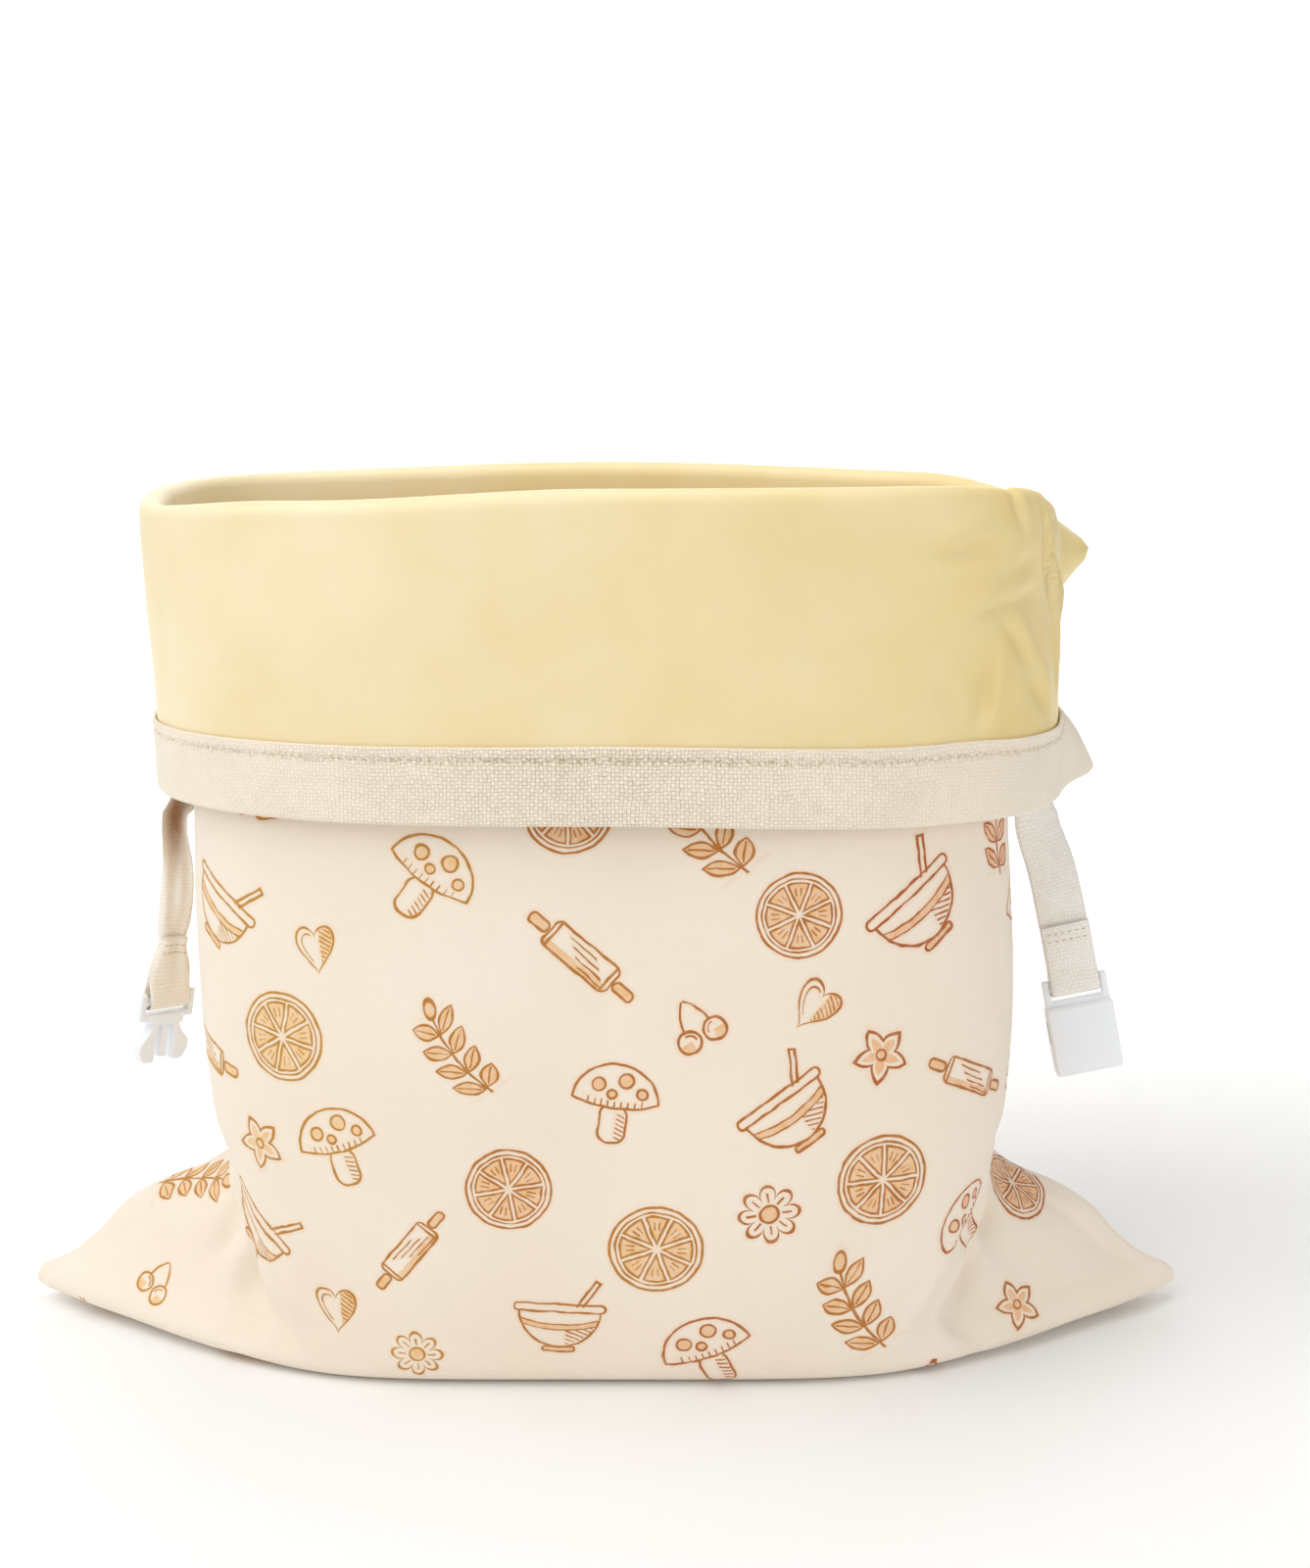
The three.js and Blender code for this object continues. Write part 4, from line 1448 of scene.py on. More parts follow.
@dataclass
class Stitches:
    """A row of short stitches, one modelled and copied along a line."""

    long: float = 2.3
    radius: float = 0.27
    # How far its ends dip into the cloth, as a share of the radius
    dip: float = 0.35

    def one(self) -> tuple[Array, list]:
        """Models one stitch about its middle, long along X and humped along Z.

        Returns:
            Its points in millimetres and its faces.
        """
        bpy.ops.object.select_all(action="DESELECT")
        bpy.ops.mesh.primitive_uv_sphere_add(segments=8, ring_count=6, radius=1.0, location=(0, 0, 0))
        stitch = bpy.context.object
        bpy.ops.object.mode_set(mode="EDIT")
        bpy.ops.mesh.select_all(action="SELECT")
        bpy.ops.transform.resize(value=(self.long / 2, self.radius, self.radius))
        bpy.ops.object.mode_set(mode="OBJECT")
        points = np.array([vertex.co for vertex in stitch.data.vertices])
        points[:, 2] -= self.dip * self.radius * (points[:, 0] / (self.long / 2)) ** 2
        faces = [tuple(face.vertices) for face in stitch.data.polygons]
        bpy.data.objects.remove(stitch)
        return points, faces

    def row(self, name: str, places: list[tuple[Array, Array, Array]]) -> Object:
        """Joins a stitch at each place into one piece.

        Args:
            name: the piece's name.
            places: the middle, the way along and the way out of the cloth for each stitch.

        Returns:
            The piece.
        """
        points, faces = self.one()
        all_points, all_faces = [], []
        for middle, along, out in places:
            along = unit(along - out * np.dot(along, out))
            across = np.cross(out, along)
            start = len(points) * len(all_points)
            all_points.append(middle + points @ np.stack([along, across, out]))
            all_faces.extend(tuple(start + i for i in face) for face in faces)
        return add_mesh(name, np.concatenate(all_points), all_faces)


@dataclass
class HemBand:
    """The binding tape folded round both layers at the cuff's lower edge, with its line of stitches."""

    shape: BagShape
    name: str = "hem_band"
    # The line of stitches: how far below the upper edge, and how far from stitch to stitch
    stitch_down: float = 3.7
    pitch: float = 3.1
    # The stitches' groove, and the share of it that shows through on the tape's inner face
    groove: float = 0.38
    groove_wide: float = 0.75
    groove_through: float = 0.3
    # Puckers along the stitches, one in so many of them
    pucker: float = 0.14
    pucker_wide: float = 3.4
    pucker_stitches: int = 3
    # Slack at the lower edge, in two sets of waves round the bag
    slack: float = 0.25
    slack_waves: tuple[int, int] = (7, 3)
    # How far each cut edge is rounded, and where the rows of the outer and the inner leg lie
    lip: float = 0.3
    leg: tuple[float, ...] = (
        *(0, 0.3, 0.8, 1.5, 2.3, 2.9, 3.3, 3.7, 4.1, 4.5, 5.2),
        *(6.5, 8.5, 11, 13.5, 16, 18, 19.5, 20.7, 21.5, 22),
    )
    inside_rows: int = 5
    bend_steps: int = 8
    # How far above the edge the way that the tape hangs is read
    hang_from: float = 2.0
    # Each stitch strays and leans a little, and is sunk in the tape
    seed: int = 5
    stray: float = 0.18
    stitch_lean: float = 0.16
    sunk: float = 0.05

    def surface(self, down: Array, depth: float, groove: float = 0.0) -> Array:
        """The tape's face at some distances below its upper edge, pressed in along the stitches.

        Args:
            down: distances below the tape's upper edge, in millimetres.
            depth: how far the face lies behind the printed face.
            groove: how deep the stitches press the face in, in millimetres.

        Returns:
            The points, of shape (rows, columns, 3).
        """
        patch = self.shape.patch(Side.CUFF, EDGE + TAPE_DEPTH - down, self.shape.angles())
        points = patch.at_depth(depth)
        run = running_length(np.concatenate([points[0], points[0, :1]]), 0) / MM
        turn = 2 * np.pi * run[:-1] / run[-1]
        puckers = round(run[-1] / self.pitch)
        dent = -groove * bell(down, self.stitch_down, self.groove_wide)[:, None]
        puckered = np.sin(turn * puckers / self.pucker_stitches)
        ripple = self.pucker * bell(down, self.stitch_down, self.pucker_wide)[:, None] * puckered[None, :]
        loose = np.sin(turn * self.slack_waves[0]) * np.sin(turn * self.slack_waves[1] + 1)
        slack = self.slack * loose[None, :] * (down / TAPE_DEPTH)[:, None]
        return points - patch.normals * (dent + ripple + slack)[..., None]

    def build(self) -> Object:
        """Makes the tape as one closed band: outer leg, bend under the edge and inner leg.

        Returns:
            The tape's mesh object, with its UV map.
        """
        down = np.array(self.leg, float)
        inside = np.linspace(TAPE_DEPTH, TAPE_DEPTH - TAPE_INSIDE, self.inside_rows)
        middle = (TAPE_FACE - GAP) / 2
        outer = self.surface(down, TAPE_FACE + TAPE, self.groove)
        backed = self.surface(down, TAPE_FACE, self.groove_through * self.groove)
        lip = (outer[:1] + backed[:1]) / 2 + np.array([0, 0, self.lip])
        inner = self.surface(inside, -GAP - TAPE)
        lining = self.surface(inside, -GAP)
        tip = (inner[-1:] + lining[-1:]) / 2 + np.array([0, 0, self.lip])
        turn = np.pi * np.arange(1, self.bend_steps) / self.bend_steps
        under = [self.bend(middle, middle + GAP + TAPE, GAP + TAPE, angle) for angle in turn]
        over = [self.bend(middle, middle + GAP, GAP, angle) for angle in turn[::-1]]
        rows = np.concatenate([lip, outer, *under, inner, tip, lining[::-1], *over, backed[::-1]])
        count, columns = rows.shape[:2]
        points = rows.reshape(-1, 3)
        faces = [tuple(f) for f in grid_faces(count, columns, closed_rows=True)]
        piece = add_mesh(self.name, points, facing_out(points, faces))
        round_it = running_length(rows[len(down) // 2], 0)
        write_uv(piece, flat_places(round_it, running_length(rows[:, columns // 3], 0)))
        return piece

    def bend(self, middle: float, half: float, drop: float, angle: float) -> Array:
        """One row of the bend under the cuff's edge.

        Args:
            middle: how far the bend's middle lies behind the printed face, in millimetres.
            half: half the bend's width.
            drop: how far it hangs below the edge.
            angle: the row's angle, from the outer leg to the inner one.

        Returns:
            The row's points.
        """
        patch = self.shape.patch(Side.CUFF, EDGE + np.array([self.hang_from, 0]), self.shape.angles())
        points = patch.at_depth(middle + half * math.cos(angle))
        hang = unit(points[1] - points[0])
        return (points[1] + hang * drop * math.sin(angle))[None]

    def stitches(self) -> Object:
        """The stitches that hold the tape, evenly spaced along its upper edge.

        Returns:
            All of them as one piece.
        """
        down = np.array([self.stitch_down - 0.5, self.stitch_down])
        above, line = self.surface(down, TAPE_FACE + TAPE - self.sunk, self.groove)
        closed = np.concatenate([line, line[:1]])
        lift = np.concatenate([above, above[:1]]) - closed
        run = running_length(closed, 0) / MM
        count = round(run[-1] / self.pitch)
        chance = random.Random(self.seed)
        places = []
        for centre in (np.arange(count) + 0.5) * run[-1] / count:
            at, before, after = (
                np.array([np.interp(centre + shift, run, closed[:, k]) for k in range(3)])
                for shift in (0.0, -1.0, 1.0)
            )
            up = unit(np.array([np.interp(centre, run, lift[:, k]) for k in range(3)]))
            straight = unit(after - before)
            along = straight + up * chance.uniform(-self.stitch_lean, self.stitch_lean)
            at = at + up * chance.uniform(-self.stray, self.stray)
            places.append((at, along, unit(np.cross(straight, up))))
        return Stitches().row("hem_stitches", places)

    def dress(self, piece: Object, stitches: Object, tape: Material, thread: Material) -> None:
        """Gives the tape its weave and the stitches their thread, and hangs both on the bag's body, the tape
        in place of its CAD node.

        Args:
            piece: the tape.
            stitches: its stitches.
            tape: the tape's material.
            thread: the stitches' material.
        """
        present(piece, tape, self.name)
        present(stitches, thread)


@dataclass
class SoftCurve:
    """A smooth line through points, eased by the distances between them."""

    points: Array

    def at(self, share: float) -> Array:
        """The line's point at a share of its stretches.

        Args:
            share: the share, from 0 to 1.

        Returns:
            The point.
        """
        last = len(self.points) - 1
        place = share * last
        i = min(int(place), last - 1)
        before = self.points[i - 1] if i > 0 else 2 * self.points[0] - self.points[1]
        after = self.points[i + 2] if i + 2 <= last else 2 * self.points[last] - self.points[last - 1]
        return self.stretch((before, self.points[i], self.points[i + 1], after), place - i)

    def stretch(self, four: tuple[Array, ...], t: float) -> Array:
        """A point of the stretch between the middle two of four points.

        Args:
            four: the points.
            t: the share of the stretch, from 0 to 1.

        Returns:
            The point.
        """
        a, b, c, d = four
        ab, bc, cd = (math.sqrt(float(np.linalg.norm(q - p))) for p, q in ((a, b), (b, c), (c, d)))
        start = ((b - a) / ab - (c - a) / (ab + bc) + (c - b) / bc) * bc
        end = ((c - b) / bc - (d - b) / (bc + cd) + (d - c) / cd) * bc
        cubic, square = 2 * b - 2 * c + start + end, -3 * b + 3 * c - 2 * start - end
        return ((cubic * t + square) * t + start) * t + b

    def tangent(self, share: float) -> Array:
        """The way along the line at a share of it."""
        return unit(self.at(min(share + 1e-4, 1.0)) - self.at(max(share - 1e-4, 0.0)))


@dataclass(frozen=True)
class Station:
    """A place on a strap's centre line, in millimetres, and how far its face has turned to the front."""

    x: float
    y: float
    z: float
    turn: float


@dataclass(frozen=True)
class Bunching:
    """How a strap is curled and folded across its width. Places and reaches down the strap are shares of
    its centre line, and places across it go from -1 to 1."""

    # A lengthwise gutter that opens to the front; "takes" is the share of the width that it takes up
    gutter: float = 0.0
    gutter_at: float = 0.44
    gutter_reach: float = 0.13
    gutter_takes: float = 0.02
    # A pinch, and the small folds that spread from above it
    pinch: float = 0.0
    pinch_at: float = 0.82
    pinch_reach: float = 0.05
    pinch_takes: float = 0.15
    folds_above: float = 0.2
    folds_waves: float = 5.6
    folds_shift: float = 0.8
    folds_least: float = 0.35
    # Lengthwise gathers: the share of the width that they take up, and where they come in and ease off
    gather: float = 0.0
    gather_from: float = 0.15
    gather_over: float = 0.2
    ease: float = 0.8
    ease_from: float = 0.72
    ease_over: float = 0.26
    # The gathers' own folds
    runs_from: float = 0.42
    runs_over: float = 0.14
    runs_high: float = 1.9
    runs_waves: float = 7.2
    runs_drift: float = 5.0
    # A painted shade in the curl, a little above the gutter's middle
    soak_above: float = 0.02
    soak_reach: float = 0.14
    soak_fades: float = 1.5

    def opened(self, share: float) -> float:
        """How deep the gutter is at a share of the strap, in millimetres."""
        return self.gutter * bell(share, self.gutter_at, self.gutter_reach)

    def gathered(self, share: float) -> float:
        """How fully the strap is gathered at a share of it, from 0 to 1."""
        eased_off = self.ease * smoothstep((share - self.ease_from) / self.ease_over)
        return float(smoothstep((share - self.gather_from) / self.gather_over) * (1 - eased_off))

    def width(self, share: float) -> float:
        """The part of its flat width that the strap keeps at a share of it."""
        kept = 1 - self.pinch_takes * (self.pinch * bell(share, self.pinch_at, self.pinch_reach))
        return kept - self.gather * self.gathered(share) - self.gutter_takes * self.opened(share)

    def curl(self, share: float, place: Array, hollow: float) -> Array:
        """How far back from flat each place across the strap lies.

        Args:
            share: the place down the strap.
            place: the places across it.
            hollow: how deep its own cross curl is.

        Returns:
            The distances in millimetres.
        """
        folds = self.pinch * float(smoothstep((share - self.pinch_at + self.folds_above) / self.folds_above))
        folds = folds * (1 - share**6)
        taper = self.folds_least + (1 - self.folds_least) * (1 - place * place)
        curl = (hollow - self.opened(share)) * place * place
        curl = curl + folds * np.sin(self.folds_waves * place + self.folds_shift) * taper
        runs = smoothstep((share - self.runs_from) / self.runs_over)
        runs = self.runs_high * self.gather * self.gathered(share) * runs
        return curl + runs * np.sin(self.runs_waves * place + self.runs_drift * share)

    def soaked(self, shares: Array, place: Array) -> Array:
        """How strongly the painted shade browns the webbing, from 0 to 1: a row of places across for each
        share.
        """
        down = bell(shares, self.gutter_at - self.soak_above, self.soak_reach) * min(self.gutter, 1.0)
        return np.outer(down, np.clip(1 - place**2, 0, 1) ** self.soak_fades)


@dataclass
class Strap:
    """A strap of webbing: sewn inside the tape, hanging, and doubled round the buckle's bar."""

    name: str
    seam: float
    stations: tuple[Station, ...]
    bunching: Bunching = Bunching()
    # The seat's place behind the tape, and how far the centre line goes above and below it
    seat_hollow: float = 1.4
    seat_above: float = 1.5
    seat_below: float = 8.0
    # The doubled end, and where and over what part of its length the front layer steps forward
    loop_back: float = 19.0
    doubled_from: float = 1.6
    doubled_over: float = 0.6
    # Sections down the strap, round the bar and up the back, and points across each
    steps: int = 60
    bend_steps: int = 12
    back_steps: int = 16
    columns: int = 15
    # The cross curl's depth, and the roundness and least thickness of the woven edges
    hollow: float = 0.5
    edge_power: int = 9
    edge_least: float = 0.12
    # The rows of stitches across the doubled end, and how far they stand off its face
    seam_rows: tuple[float, ...] = (2.2, 4.4)
    proud: float = 0.08

    def __post_init__(self) -> None:
        """Lists the turn at each point of the centre line; the line itself needs the bag's form."""
        self.turns = [0.0, 0.0] + [station.turn for station in self.stations]
        self.curve: SoftCurve | None = None

    def seat(self, shape: BagShape) -> Array:
        """Where the strap is sewn on, in millimetres: just inside the tape, on the side seam."""
        patch = shape.patch(Side.CUFF, np.array([EDGE + TAPE_INSIDE]), self.seam + np.array([-1, 0, 1]))
        return patch.at_depth(-(GAP + TAPE + GAP + WEBBING / 2 + self.seat_hollow))[0, 1]

    def frame_at(self, share: float) -> tuple[Array, Array, Array, Array]:
        """How the strap lies at a share of its centre line.

        Args:
            share: the share, from 0 to 1.

        Returns:
            The point, and the ways down the strap, across it and out of its front face.
        """
        along = self.curve.tangent(share)
        place = share * (len(self.turns) - 1)
        i = min(int(place), len(self.turns) - 2)
        turn = math.radians(self.turns[i] + (self.turns[i + 1] - self.turns[i]) * (place - i))
        across = np.array([math.sin(turn), math.cos(turn), 0.0])
        across = unit(across - along * np.dot(across, along))
        out = np.cross(across, along)
        return self.curve.at(share), along, across, -out if out[1] > 0 else out

    def section(self, share: float, away: float, down: float, half: float = 1.0) -> Array:
        """A closed section of the webbing: its front face and back, with rounded edges.

        Args:
            share: the place on the centre line.
            away: how far in front of the centre line the section lies.
            down: how far below it along the strap.
            half: how much of the cross curl the section has.

        Returns:
            The section's points in order round it.
        """
        point, along, across, out = self.frame_at(share)
        place = np.linspace(-1, 1, self.columns)
        curl = self.bunching.curl(share, place, self.hollow * half)
        round_edge = np.clip(1 - np.abs(place) ** self.edge_power, self.edge_least, 1)
        thick = WEBBING / 2 * np.sqrt(round_edge)
        wide = STRAP_WIDTH / 2 * self.bunching.width(share)
        middle = point + out * away + along * down
        line = middle + np.outer(place * wide, across) + np.outer(curl, -out)
        return np.concatenate([line + np.outer(thick, out), (line - np.outer(thick, out))[::-1]])

    def build(self, shape: BagShape) -> Object:
        """Makes the strap as one closed band with its UV map.

        Args:
            shape: the bag's form, which the strap's seat lies on.

        Returns:
            The strap's mesh object.
        """
        seat = self.seat(shape)
        upper, lower = seat + (0, 0, self.seat_above), seat - (0, 0, self.seat_below)
        line = [upper, lower] + [np.array([s.x, s.y, s.z]) for s in self.stations]
        self.curve = SoftCurve(np.array(line))
        shares = np.linspace(0, 1, self.steps + 1)
        length = self.length(self.steps + 1)
        bend = BAR_RADIUS + GAP + WEBBING / 2
        layer = (WEBBING + GAP) / 2
        rows = []
        for share in shares:
            past = share * length - length + self.doubled_from * self.loop_back
            doubled = layer * smoothstep(past / (self.doubled_over * self.loop_back))
            rows.append(self.section(share, -max(doubled, self.flare(share, length, bend)), 0, 1 - share**4))
        for angle in np.pi * np.arange(1, self.bend_steps) / self.bend_steps:
            rows.append(self.section(1.0, -bend * math.cos(angle), bend * math.sin(angle), 0))
        for k in range(self.back_steps + 1):
            share = 1 - k / self.back_steps * self.loop_back / length
            rows.append(self.section(share, max(layer, self.flare(share, length, bend)), 0, 1 - share**4))
        grid = np.array(rows)
        count, columns = grid.shape[:2]
        points = grid.reshape(-1, 3)
        # The hollow attribute holds a painted shade in the gutter of the strap's curl, on the front face of
        # its down run.
        inside = np.zeros((count, columns))
        soaked = self.bunching.soaked(shares, np.linspace(-1, 1, self.columns))
        inside[: len(shares), : self.columns] = soaked
        faces = [tuple(face) for face in grid_faces(count, columns)]
        faces += [tuple(range(columns)), tuple(reversed(range((count - 1) * columns, count * columns)))]
        piece = add_mesh(self.name, points, facing_out(points, faces))
        piece.data.attributes.new("hollow", "FLOAT", "POINT").data.foreach_set("value", inside.ravel())
        along = running_length(grid[:, columns // 4], 0)
        write_uv(piece, flat_places(running_length(grid[0], 0), along))
        return piece

    def length(self, count: int) -> float:
        """The centre line's length in millimetres, measured between so many points of it."""
        centre = np.array([self.curve.at(share) for share in np.linspace(0, 1, count)])
        return running_length(centre, 0)[-1] / MM

    def flare(self, share: float, length: float, bend: float) -> float:
        """How far each layer stands off the centre line where the webbing opens round the bar."""
        near = self.loop_back / 2
        return bend * float(smoothstep((share * length - length + near) / near))

    def stitches(self, name: str) -> Object:
        """The row of stitches across the doubled end, on its front face.

        Args:
            name: the piece's name.

        Returns:
            The stitches as one piece.
        """
        length = self.length(self.steps)
        places = []
        for below in self.seam_rows:
            share = 1 - (self.loop_back - below) / length
            face = self.section(share, (WEBBING + GAP) / 2, 0, 1 - share**4)[: self.columns]
            normal = self.frame_at(share)[3]
            for k in range(2, self.columns - 2, 2):
                across = unit(face[k + 1] - face[k - 1])
                out = unit(normal - across * np.dot(normal, across))
                places.append((face[k] + out * self.proud, across, out))
        return Stitches(long=1.5, radius=0.25).row(name, places)

    def dress(self, piece: Object, stitches: Object, webbing: Material, thread: Material) -> None:
        """Gives the strap its weave and the stitches their thread, and hangs both on the bag's body, the
        strap in place of its CAD node.

        Args:
            piece: the strap.
            stitches: its stitches.
            webbing: the strap's material.
            thread: the stitches' material.
        """
        present(piece, webbing, self.name)
        present(stitches, thread)


@dataclass
class Buckle:
    """What both halves of the buckle have: the bar between two rails that the webbing goes round."""

    name: str
    half: float = 10.6
    rail_top: float = 3.2
    rail_thick: float = 3.0
    rail_edge: float = 0.7
    # The slot above and below the bar, with what cuts it reaching past the rails, and the rail below it
    slot_half: float = 8.35
    slot_below: float = 3.95
    slot_edge: float = 0.3
    cut_top: float = 6.0
    cut_thick: float = 9.0
    rail_below: float = 2.2
    # How far short of the rails' outer faces the bar ends, and its sides
    bar_short: float = 1.4
    bar_sides: int = 28
    # Every rounded edge: its faces, and the least angle that counts as an edge
    edge_steps: int = 4
    edge_angle: float = 40.0
    smooth_angle: float = 38.0

    def box(
        self, half: float, low: float, high: float, thick: float, edge: float = 0.0, off: float = 0.0
    ) -> Object:
        """A block, its edges rounded.

        Args:
            half: half its width.
            low: how far down it reaches.
            high: how far up it reaches.
            thick: its depth from front to back.
            edge: the radius of its edges, or 0 for sharp ones.
            off: how far to the right of the buckle's middle line it lies.

        Returns:
            The block as an object, in millimetres.
        """
        bpy.ops.object.select_all(action="DESELECT")
        bpy.ops.mesh.primitive_cube_add(size=1, location=(off, (low + high) / 2, 0))
        block = bpy.context.object
        block.scale = (2 * half, high - low, thick)
        bpy.ops.object.transform_apply(location=True, scale=True)
        if edge:
            self.soften(block, edge)
        return block

    def soften(self, piece: Object, edge: float) -> None:
        """Rounds every sharp edge of a block.

        Args:
            piece: the block.
            edge: the radius, in millimetres.
        """
        bevel = piece.modifiers.new("edges", "BEVEL")
        bevel.width = edge
        bevel.segments = self.edge_steps
        bevel.angle_limit = math.radians(self.edge_angle)
        self.apply(piece, bevel)

    def pick(self, piece: Object) -> None:
        """Makes a piece the only one that the next operator acts on.

        Args:
            piece: the piece.
        """
        bpy.ops.object.select_all(action="DESELECT")
        piece.select_set(True)
        bpy.context.view_layer.objects.active = piece

    def apply(self, piece: Object, modifier: Modifier) -> None:
        """Makes a modifier's work part of the piece's mesh."""
        self.pick(piece)
        bpy.ops.object.modifier_apply(modifier=modifier.name)

    def combine(self, piece: Object, other: Object, how: str) -> None:
        """Unites the piece with another or cuts the other out of it, and removes the other.

        Args:
            piece: the piece.
            other: the other one.
            how: UNION or DIFFERENCE.
        """
        modifier = piece.modifiers.new(how, "BOOLEAN")
        modifier.operation = how
        modifier.object = other
        modifier.solver = "EXACT"
        self.apply(piece, modifier)
        bpy.data.objects.remove(other)

    def frame(self, bottom: float) -> Object:
        """Models the two rails with the bar between them.

        Args:
            bottom: the height at which they are closed below.

        Returns:
            The frame, in millimetres.
        """
        frame = self.box(self.half, bottom, self.rail_top, self.rail_thick, self.rail_edge)
        cut = self.box(self.slot_half, -self.slot_below, self.cut_top, self.cut_thick)
        self.combine(frame, cut, "DIFFERENCE")
        self.soften(frame, self.slot_edge)
        turned = (0, math.pi / 2, 0)
        size = {"vertices": self.bar_sides, "radius": BAR_RADIUS, "depth": 2 * self.half - self.bar_short}
        bpy.ops.mesh.primitive_cylinder_add(**size, location=(0, 0, 0), rotation=turned)
        bar = bpy.context.object
        bpy.ops.object.transform_apply(rotation=True)
        self.combine(frame, bar, "UNION")
        return frame

    def body(self) -> Object:
        """What the half is built on, to which each kind of half adds its own parts."""
        return self.frame(-self.slot_below - self.rail_below)

    def build(self, strap: Strap) -> Object:
        """Models the half and hangs it at the end of its strap.

        Args:
            strap: the strap that goes round its bar, already built.

        Returns:
            The half as one mesh object.
        """
        piece = self.body()
        piece.name = self.name
        point, along, _, out = strap.frame_at(1.0)
        across = np.cross(-along, out)
        turned = Matrix([list(row) for row in np.stack([across, -along, out], axis=1)]).to_4x4()
        piece.data.transform(Matrix.Translation(point * MM) @ turned @ Matrix.Scale(MM, 4))
        piece.data.shade_smooth()
        self.pick(piece)
        bpy.ops.object.shade_smooth_by_angle(angle=math.radians(self.smooth_angle))
        return piece

    def dress(self, piece: Object, plastic: Material) -> None:
        """Gives the half its plastic and hangs it on the bag's body in place of its CAD node."""
        present(piece, plastic, self.name)


@dataclass
class ProngHalf(Buckle):
    """The half with two sprung prongs and a guide between them."""

    # Down one prong: how far out its middle lies, how far down, and half its width
    prong: tuple[tuple[float, float, float], ...] = (
        (4.0, -6.0, 1.4),
        (4.2, -9.0, 1.35),
        (5.3, -11.6, 1.9),
        (6.6, -14.2, 3.0),
        (6.7, -17.0, 3.1),
        (5.9, -19.6, 2.5),
        (5.4, -20.8, 1.7),
    )
    prong_thick: float = 4.2
    prong_edge: float = 0.55
    # The bridge that carries the prongs and the guide between them: half width, bottom, top, depth, edge
    bridge: tuple[float, ...] = (6.6, -8.0, -3.95, 4.2, 0.6)
    guide: tuple[float, ...] = (1.5, -19.4, -6.0, 3.2, 0.6)

    def one_prong(self, side: int) -> Object:
        """Draws one prong out of a small block, station by station, and rounds it.

        Args:
            side: -1 for the left prong, 1 for the right one.

        Returns:
            The prong, in millimetres.
        """
        x, y, half = self.prong[0]
        prong = self.box(half, y, y + 1, self.prong_thick, off=side * x)
        bpy.ops.object.mode_set(mode="EDIT")
        bpy.ops.mesh.select_mode(type="FACE")
        bpy.ops.mesh.select_all(action="DESELECT")
        bpy.ops.object.mode_set(mode="OBJECT")
        min(prong.data.polygons, key=lambda face: face.center.y).select = True
        bpy.ops.object.mode_set(mode="EDIT")
        for (x0, y0, half0), (x1, y1, half1) in zip(self.prong, self.prong[1:]):
            step = {"value": (side * (x1 - x0), y1 - y0, 0)}
            bpy.ops.mesh.extrude_region_move(TRANSFORM_OT_translate=step)
            bpy.ops.transform.resize(value=(half1 / half0, 1, 1), center_override=(side * x1, y1, 0))
        bpy.ops.object.mode_set(mode="OBJECT")
        self.soften(prong, self.prong_edge)
        return prong

    def body(self) -> Object:
        """Adds the bridge, the guide and the two prongs to the frame.

        Returns:
            The half, in millimetres.
        """
        half = super().body()
        for block in (self.bridge, self.guide):
            self.combine(half, self.box(*block), "UNION")
        for side in (-1, 1):
            self.combine(half, self.one_prong(side), "UNION")
        return half


@dataclass
class SocketHalf(Buckle):
    """The half with the flat case that the prongs go into, with a release window in each edge."""

    case_half: float = 11.0
    case_top: float = -5.55
    case_bottom: float = -29.0
    case_thick: float = 7.8
    case_edge: float = 1.3
    wall: float = 2.4
    socket_half: float = 8.2
    socket_thick: float = 5.0
    # The windows: how far down their middle lies, their height, how much thinner than the socket they are,
    # their edge radius and half the width of the block that cuts both
    window_down: float = 9.0
    window_tall: float = 8.0
    window_less: float = 0.6
    window_edge: float = 0.8
    window_cut: float = 20.0
    # How far the frame reaches down into the case
    overlap: float = 2.0

    def body(self) -> Object:
        """Models the case, hollowed from below and cut at its edges, under the frame.

        Returns:
            The half, in millimetres.
        """
        case = self.box(self.case_half, self.case_bottom, self.case_top, self.case_thick, self.case_edge)
        inside_top = self.case_top - self.wall
        hollow = self.box(self.socket_half, self.case_bottom - 1, inside_top, self.socket_thick)
        self.combine(case, hollow, "DIFFERENCE")
        middle = self.case_top - self.window_down
        low, high = middle - self.window_tall / 2, middle + self.window_tall / 2
        thick = self.socket_thick - self.window_less
        self.combine(case, self.box(self.window_cut, low, high, thick, self.window_edge), "DIFFERENCE")
        self.combine(case, self.frame(self.case_top - self.overlap), "UNION")
        return case


@dataclass(frozen=True)
class Lamp:
    """A square soft light: where it hangs and what it points at, its side in metres and its watts."""

    name: str
    place: tuple[float, float, float]
    aim: tuple[float, float, float]
    size: float
    power: float


LAMPS = (
    Lamp("overhead", (0.0, 0.12, 1.4), (0.0, 0.0, 0.0), 0.45, 3.5),
    Lamp("key", (-1.0, -0.7, 1.5), (0.0, 0.0, 0.15), 2.0, 26.0),
    Lamp("fill", (1.2, -1.0, 0.6), (0.0, 0.0, 0.15), 0.8, 5.6),
    Lamp("sweep", (0.0, 0.9, 1.3), (0.0, 2.2, 0.5), 1.6, 30.0),
)


